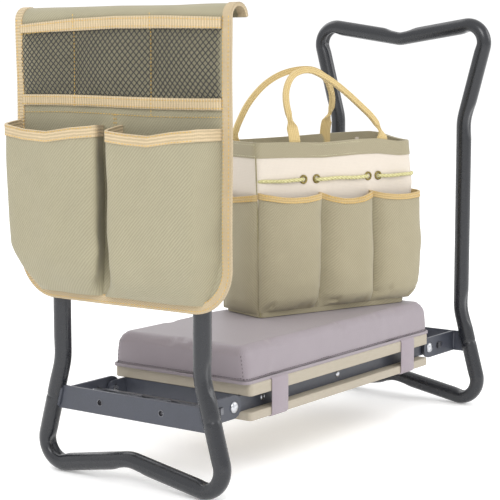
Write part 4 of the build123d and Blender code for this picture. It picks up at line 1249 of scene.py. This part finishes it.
def lobe_grid(face, outline, mouth, low_share, high_share, levels):
    """The cloth of one tote pocket between two shares of its height."""
    count = 56
    line = spaced(softened(np.array(outline, float), 3), count)
    top = np.interp(np.linspace(0, 1, count), np.linspace(0, 1, len(mouth)), mouth)
    low = TOTE_Z / MM + (6.0 if face == "front" else 3.0)
    rows = []
    for share in np.linspace(low_share, high_share, levels):
        full = np.interp(share, [0, 0.03, 0.1, 0.25, 0.7, 1], [0.05, 0.5, 0.9, 1.05, 1.0, 0.9])
        out = np.where(line[:, 1] > 0, line[:, 1] * full, line[:, 1])
        z = low + share * (top - low)
        left, right, front, back, back_right = [v / MM for v in tote_sides(z * MM)]
        along = line[:, 0]
        if face == "front":
            lean = np.interp(share, [0, 1], [-4, 0]) * np.clip(1 - abs(along + 24) / 40, 0, 1)
            grow = np.interp(share, [0, 0.1, 0.5, 1], [-10, 0, 5, 3]) * np.clip(
                (along - 96) / 20, 0, 1)
            pulled = np.minimum(tuck_depth(along, z), 0.7 * np.maximum(out, 0))
            s, w = along + lean + grow, front - out + pulled
        elif face == "back":
            w = np.interp(along, [-112, 109], [0, 1]) * (back_right - back) + back + out
            s = along
        elif face == "left":
            s, w = left - out, along
        else:
            s, w = right + out, along
        rows.append(tote_place(s * MM, w * MM, z * MM))
    return np.array(rows)


def build_tote_pockets(sizes):
    faces = {"front": FRONT_LOBES, "back": BACK_LOBES, "left": LEFT_LOBES, "right": RIGHT_LOBES}
    middle = tote_place(np.array(0.0), np.array(0.0), np.array(0.22))
    tapes, rows = [], []
    for face, lobes in faces.items():
        bags = []
        for outline, mouth in lobes:
            bag = lobe_grid(face, outline, mouth, 0, 1, 34)
            bags.append(cloth(bag, 1.3 * MM, middle, stand=-1.3 * MM, ruffle=(1.1 * MM, 24 * MM)))
            edge = lobe_grid(face, outline, mouth, 0.952, 1.004, 5)
            tapes.append(cloth(edge, 2.6 * MM, middle, stand=-1.8 * MM))
            for share in (0.96, 0.992):
                line = lobe_grid(face, outline, mouth, share, 1, 2)[0]
                out = unit((line - middle) * (1, 1, 0))
                rows.append((line + out * 1.1 * MM)[5:-5])
        made = piece(f"tote_{face}_pockets", bags, FINISHES["tote"])
        settle(made, "tote", "tote_fabric", f"tote_pockets_{face}", sinks=True)
    made = piece("tote_pocket_binding", tapes, FINISHES["pocket_trim"])
    settle(made, "tote", "binding_tape", "tote_pocket_tapes", sinks=True)
    sewn("tote_pocket_stitches", rows, FINISHES["thread"], sizes, "tote", "binding_tape", sinks=True)


EYELETS = (-48.2, -29.2, 48.2, 63.9)     # along the bag, in millimetres
CORD_Z, CORD_R, TWIST_PITCH = 300 * MM, 2.2 * MM, 3.2 * MM


def build_drawcord():
    z = CORD_Z
    left, right, front, back, _ = tote_sides(z)
    faces = {-1: front - 0.6 * MM, 1: back + 2.6 * MM}
    spots = []
    for hand, w in faces.items():
        for s in EYELETS:
            spots.append((tote_place(np.array(s * MM), np.array(w), np.array(z)), TOTE_N * hand))
    made = grown("tote_eyelet_rings", spots_mesh("eyelet_spots", spots), eyelet_tree(),
                 FINISHES["brass"], ring_radius=4.2 * MM, roll_radius=1.25 * MM)
    settle(made, "tote", "eyelet_brass", "tote_eyelets", sinks=True)
    e = [s * MM for s in EYELETS]
    route = []
    for hand in (-1, 1):
        out, into = faces[hand] + hand * 2.6 * MM, faces[hand] - hand * 6 * MM
        line = [(e[0], out), (e[0], into), (e[1], into), (e[1], out), ((e[1] + e[2]) / 2, out),
                (e[2], out), (e[2], into), (e[3], into), (e[3], out)]
        route += line if hand < 0 else line[::-1]
        if hand < 0:
            route += [(right + 4.0 * MM, out + 1 * MM), (right + 4.5 * MM, 20 * MM)]
    route += [(left + 2.5 * MM, faces[1] + 1 * MM), (left + 5 * MM, faces[1] - 5 * MM),
              (left + 5 * MM, 0), (left + 5 * MM, faces[-1] + 5 * MM),
              (left + 2.5 * MM, faces[-1] - 1 * MM)]
    start = (np.array(route[-1]) + np.array(route[0])) / 2
    loop = softened(np.array([start, *route, start]), 2)
    loop = spaced(loop, 900)[:-1]
    sag = 0.8 * MM * (np.sin(loop[:, 0] / (17 * MM)) ** 2) * (np.abs(loop[:, 1]) > 30 * MM)
    path = tote_place(loop[:, 0], loop[:, 1], z - sag)
    twist = 1 + 0.06 * np.sin(run_of(path) * TAU / TWIST_PITCH)
    cord = round_bar(path, CORD_R * twist, sides=10, wrap=True)
    made = piece("tote_cord", [cord], FINISHES["cord"])
    settle(made, "tote", "cord", "tote_drawcord", sinks=True)


# The handles' routes: (along, towards the back, height), from one sewn end to the other.
HANDLES = {
    "front": [(-58, -31, 328), (-58, -31.5, 347), (-64, -30, 369), (-67.6, -26, 390),
              (-63.6, -21, 406), (-51.3, -15, 420.4), (-34.1, -11, 426), (-19.5, -8, 426.7),
              (-6.5, -7, 423.3), (14, -8, 413.2), (31.9, -12, 400), (49.5, -17, 384.2),
              (64.2, -24, 369.1), (71.5, -29.5, 354), (73, -31.5, 344.3), (73, -31, 328)],
    "back": [(-99, 30.5, 328), (-99, 31, 346.3), (-100, 30, 356.3), (-95, 27, 370),
             (-87.6, 22, 388.1), (-72.3, 15, 407.9), (-56.4, 9, 419.5), (-39.7, 4, 425.9),
             (-16.9, 1, 428.3), (0.2, 2, 424.9), (18.4, 8, 415.4), (31.4, 16, 400.7),
             (37.7, 22, 388.3), (39.3, 27, 377), (33.5, 30, 361.3), (33, 31, 340.4),
             (33, 30.5, 328)],
}


def build_tote_handles():
    for depth, hand in (("front", -1), ("back", 1)):
        route = np.array(HANDLES[depth], float) * MM
        path = spaced(softened(route, 3), 420)
        share = np.linspace(0, 1, 420)
        first, last = (0.145, 0.90) if depth == "front" else (0.07, 0.84)
        marks = [0, first - 0.035, first, first + 0.03, last - 0.03, last, last + 0.035, 1]
        width = np.interp(share, marks, [16.5, 15, 5.5, 7.2, 7.2, 5.5, 15, 16.5]) * MM
        thick = np.interp(share, marks, [1.9, 1.9, 4.2, 4.4, 4.4, 4.2, 1.9, 1.9]) * MM
        twist = np.interp(share, marks, [0, 0, 60, 10, 10, 60, 0, 0])
        points = tote_place(path[:, 0], path[:, 1], path[:, 2])
        tangent = unit(np.gradient(points, axis=0))
        flat = unit(np.cross(tangent, np.cross(TOTE_N * hand, tangent)))
        side = np.cross(flat, tangent)
        turn = np.radians(twist)[:, None]
        facing = flat * np.cos(turn) + side * np.sin(turn)
        strap = webbing(points, facing, width, thick, 2.2 * MM, 0.06)
        made = piece(f"tote_{depth}_handle", [strap], FINISHES["handle"])
        settle(made, "tote", "handle_webbing", f"tote_handle_{depth}", sinks=True)
    spot = tote_place(np.array(82 * MM), np.array(29.5 * MM), np.array(0.334))
    path = np.array([spot + np.array([0, 0, z]) for z in np.linspace(-9, 9, 12) * MM])
    tab = webbing(path, -TOTE_N, 5.5 * MM, 1.0 * MM)
    made = piece("tote_loop_tab", [tab], FINISHES["cream"])
    settle(made, "tote", "cream_fabric", sinks=True)


# --- stage --------------------------------------------------------------------------------------
def area_light(name, place, aim, size, power):
    lamp = bpy.data.lights.new(name, "AREA")
    lamp.size = size
    lamp.energy = power
    holder = bpy.data.objects.new(name, lamp)
    holder.location = place
    holder.rotation_euler = (Vector(aim) - Vector(place)).to_track_quat("-Z", "Y").to_euler()
    bpy.context.scene.collection.objects.link(holder)


FLOOR_HALF, FLOOR_Z = 6.0, -0.5 * MM
CAMERA_PLACE = (-1.43876, -1.0187, 0.44098)
CAMERA_AZIMUTH, CAMERA_DROP, CAMERA_LENS = math.radians(-54.04), math.radians(7.11), 110.96


def build_stage():
    """A white room: paper floor, three soft lights and the camera."""
    scene = bpy.context.scene
    scene.view_settings.view_transform = "Standard"
    world = bpy.data.worlds.new("studio")
    world.use_nodes = True
    sky = world.node_tree.nodes["Background"]
    sky.inputs["Color"].default_value = (1, 1, 1, 1)
    sky.inputs["Strength"].default_value = 1.08
    scene.world = world
    corners = np.array([[(-FLOOR_HALF, -FLOOR_HALF, FLOOR_Z), (FLOOR_HALF, -FLOOR_HALF, FLOOR_Z)],
                        [(-FLOOR_HALF, FLOOR_HALF, FLOOR_Z), (FLOOR_HALF, FLOOR_HALF, FLOOR_Z)]])
    paper = grainy("pale_paper_floor", linear("#fdfdfd"), linear("#fafafa"), 4 * MM,
                   0.01 * MM, 0.9, Emission_Color=(1, 1, 1, 1), Emission_Strength=0.2)
    mesh = bpy.data.meshes.new("floor")
    mesh.from_pydata(corners.reshape(-1, 3).tolist(), [], [(0, 1, 3, 2)])
    mesh.materials.append(paper)
    floor = bpy.data.objects.new("floor", mesh)
    scene.collection.objects.link(floor)
    aim = (CENTRE_X, 0, 0.2)
    area_light("key", (-2.1, -1.5, 2.3), aim, 1.3, 34)
    area_light("fill", (1.9, -2.1, 1.6), aim, 1.4, 15)
    area_light("back", (0.6, 2.2, 2.2), aim, 2.0, 16)
    lens = bpy.data.cameras.new("camera")
    lens.lens = CAMERA_LENS
    lens.sensor_width = 36
    lens.clip_end = 30
    camera = bpy.data.objects.new("camera", lens)
    camera.location = CAMERA_PLACE
    level = math.cos(CAMERA_DROP)
    forward = Vector((-math.sin(CAMERA_AZIMUTH) * level, math.cos(CAMERA_AZIMUTH) * level,
                      -math.sin(CAMERA_DROP)))
    camera.rotation_euler = forward.to_track_quat("-Z", "Y").to_euler()
    scene.collection.objects.link(camera)
    scene.camera = camera


# --- add-on -------------------------------------------------------------------------------------
def length(name, description, default, low, high):
    return bpy.props.FloatProperty(name=name, description=description, default=default, min=low,
                                   max=high, subtype="DISTANCE", unit="LENGTH")


def tint(name, description, code):
    return bpy.props.FloatVectorProperty(name=name, description=description, subtype="COLOR",
                                         size=3, min=0, max=1, default=linear(code, alpha=False))


class KneelerSizes(bpy.types.PropertyGroup):
    """Sizes of the seat's looks that a user may change."""
    dent: length("Bend dent", "Depth of the press mark inside each tight bend", 0.0052, 0, 0.007)
    rivet_head: length("Rivet head", "Radius of the pivot rivets' heads", 0.0062, 0.004, 0.008)
    rib_pitch: length("Tape rib", "Distance between the binding tape's ribs", 0.0033, 0.001, 0.01)
    net_pitch: length("Net pitch", "Distance between the net's strands", 0.0046, 0.002, 0.01)
    stitch_pitch: length("Stitch pitch", "Distance from stitch to stitch", 0.0036, 0.002, 0.01)
    thread: length("Thread", "Thickness of the sewing thread", 0.0008, 0.0003, 0.002)


class KneelerColours(bpy.types.PropertyGroup):
    """Colours of the seat and its bags."""
    steel: tint("Steel", "Paint of the tube frames", "#1e2025")
    cover: tint("Pad cover", "Cloth of the pad", "#958b91")
    canvas: tint("Pouch canvas", "Cloth of the tool pouch", "#a9a287")
    tote: tint("Tote canvas", "Cloth of the tote bag", "#a69d82")
    cream: tint("Cream band", "Pale band round the tote bag", "#d7cdc0")
    trim: tint("Binding", "Tape that binds the pouch", "#d4bf9a")


class KNEELER_OT_finishes(bpy.types.Operator):
    """Makes the materials"""
    bl_idname = "kneeler.finishes"
    bl_label = "Finishes"

    def execute(self, context):
        make_finishes(context.scene.kneeler_colours)
        return {"FINISHED"}


class KNEELER_OT_frames(bpy.types.Operator):
    """Builds the two bent tube frames with their welds, and finishes their brackets and locks"""
    bl_idname = "kneeler.frames"
    bl_label = "Tube frames"

    def execute(self, context):
        build_frames(context.scene.kneeler_sizes)
        return {"FINISHED"}


class KNEELER_OT_hardware(bpy.types.Operator):
    """Sets the pivot rivets and the rail rivets"""
    bl_idname = "kneeler.hardware"
    bl_label = "Rivets"

    def execute(self, context):
        build_hardware(context.scene.kneeler_sizes)
        return {"FINISHED"}


class KNEELER_OT_seat(bpy.types.Operator):
    """Finishes the boards, the rails and the bolts"""
    bl_idname = "kneeler.seat"
    bl_label = "Seat boards"

    def execute(self, context):
        build_seat()
        return {"FINISHED"}


class KNEELER_OT_pad(bpy.types.Operator):
    """Builds the padded cushion with its hem and stitches"""
    bl_idname = "kneeler.pad"
    bl_label = "Pad"

    def execute(self, context):
        build_pad(context.scene.kneeler_sizes)
        return {"FINISHED"}


class KNEELER_OT_straps(bpy.types.Operator):
    """Builds the two straps that hold the pad on the boards"""
    bl_idname = "kneeler.straps"
    bl_label = "Pad straps"

    def execute(self, context):
        build_straps()
        return {"FINISHED"}


class KNEELER_OT_pouch_panel(bpy.types.Operator):
    """Builds the pouch's panel, its flap over the handle, its binding and its stitches"""
    bl_idname = "kneeler.pouch_panel"
    bl_label = "Pouch panel"

    def execute(self, context):
        build_pouch_panel(context.scene.kneeler_sizes)
        return {"FINISHED"}


class KNEELER_OT_pouch_net(bpy.types.Operator):
    """Builds the pouch's tool net and its two tapes"""
    bl_idname = "kneeler.pouch_net"
    bl_label = "Pouch net"

    def execute(self, context):
        build_pouch_net(context.scene.kneeler_sizes)
        return {"FINISHED"}


class KNEELER_OT_pouch_pockets(bpy.types.Operator):
    """Builds the pouch's two gusseted pockets"""
    bl_idname = "kneeler.pouch_pockets"
    bl_label = "Pouch pockets"

    def execute(self, context):
        build_pouch_pockets(context.scene.kneeler_sizes)
        return {"FINISHED"}


class KNEELER_OT_tote_shell(bpy.types.Operator):
    """Builds the tote bag's shell, its cream band and its rim"""
    bl_idname = "kneeler.tote_shell"
    bl_label = "Tote shell"

    def execute(self, context):
        build_tote_shell(context.scene.kneeler_sizes)
        return {"FINISHED"}


class KNEELER_OT_tote_pockets(bpy.types.Operator):
    """Builds the pockets round the tote bag and their binding"""
    bl_idname = "kneeler.tote_pockets"
    bl_label = "Tote pockets"

    def execute(self, context):
        build_tote_pockets(context.scene.kneeler_sizes)
        return {"FINISHED"}


class KNEELER_OT_drawcord(bpy.types.Operator):
    """Sets the eyelets and threads the drawcord through them"""
    bl_idname = "kneeler.drawcord"
    bl_label = "Drawcord"

    def execute(self, context):
        build_drawcord()
        return {"FINISHED"}


class KNEELER_OT_tote_handles(bpy.types.Operator):
    """Builds the tote bag's two webbing handles"""
    bl_idname = "kneeler.tote_handles"
    bl_label = "Tote handles"

    def execute(self, context):
        build_tote_handles()
        return {"FINISHED"}


class KNEELER_OT_stage(bpy.types.Operator):
    """Sets the floor, the lights and the camera"""
    bl_idname = "kneeler.stage"
    bl_label = "Stage"

    def execute(self, context):
        build_stage()
        return {"FINISHED"}


STEPS = (KNEELER_OT_finishes, KNEELER_OT_frames, KNEELER_OT_hardware, KNEELER_OT_seat,
         KNEELER_OT_pad, KNEELER_OT_straps, KNEELER_OT_pouch_panel, KNEELER_OT_pouch_net,
         KNEELER_OT_pouch_pockets, KNEELER_OT_tote_shell, KNEELER_OT_tote_pockets,
         KNEELER_OT_drawcord, KNEELER_OT_tote_handles, KNEELER_OT_stage)


class KNEELER_PT_build(bpy.types.Panel):
    """Lists the steps that build the seat, and its sizes and colours"""
    bl_idname = "KNEELER_PT_build"
    bl_label = "Garden kneeler seat"
    bl_space_type = "VIEW_3D"
    bl_region_type = "UI"
    bl_category = "Kneeler"

    def draw(self, context):
        for step in STEPS:
            self.layout.operator(step.bl_idname)
        for group in (context.scene.kneeler_sizes, context.scene.kneeler_colours):
            for name in group.__annotations__:
                self.layout.prop(group, name)


CLASSES = (KneelerSizes, KneelerColours, *STEPS, KNEELER_PT_build)


def register():
    for each in CLASSES:
        bpy.utils.register_class(each)
    bpy.types.Scene.kneeler_sizes = bpy.props.PointerProperty(type=KneelerSizes)
    bpy.types.Scene.kneeler_colours = bpy.props.PointerProperty(type=KneelerColours)


def unregister():
    del bpy.types.Scene.kneeler_colours
    del bpy.types.Scene.kneeler_sizes
    for each in reversed(CLASSES):
        bpy.utils.unregister_class(each)


def main():
    register()
    for step in STEPS:
        getattr(bpy.ops.kneeler, step.bl_idname.split(".")[1])()
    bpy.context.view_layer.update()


if __name__ == "__main__":
    main()
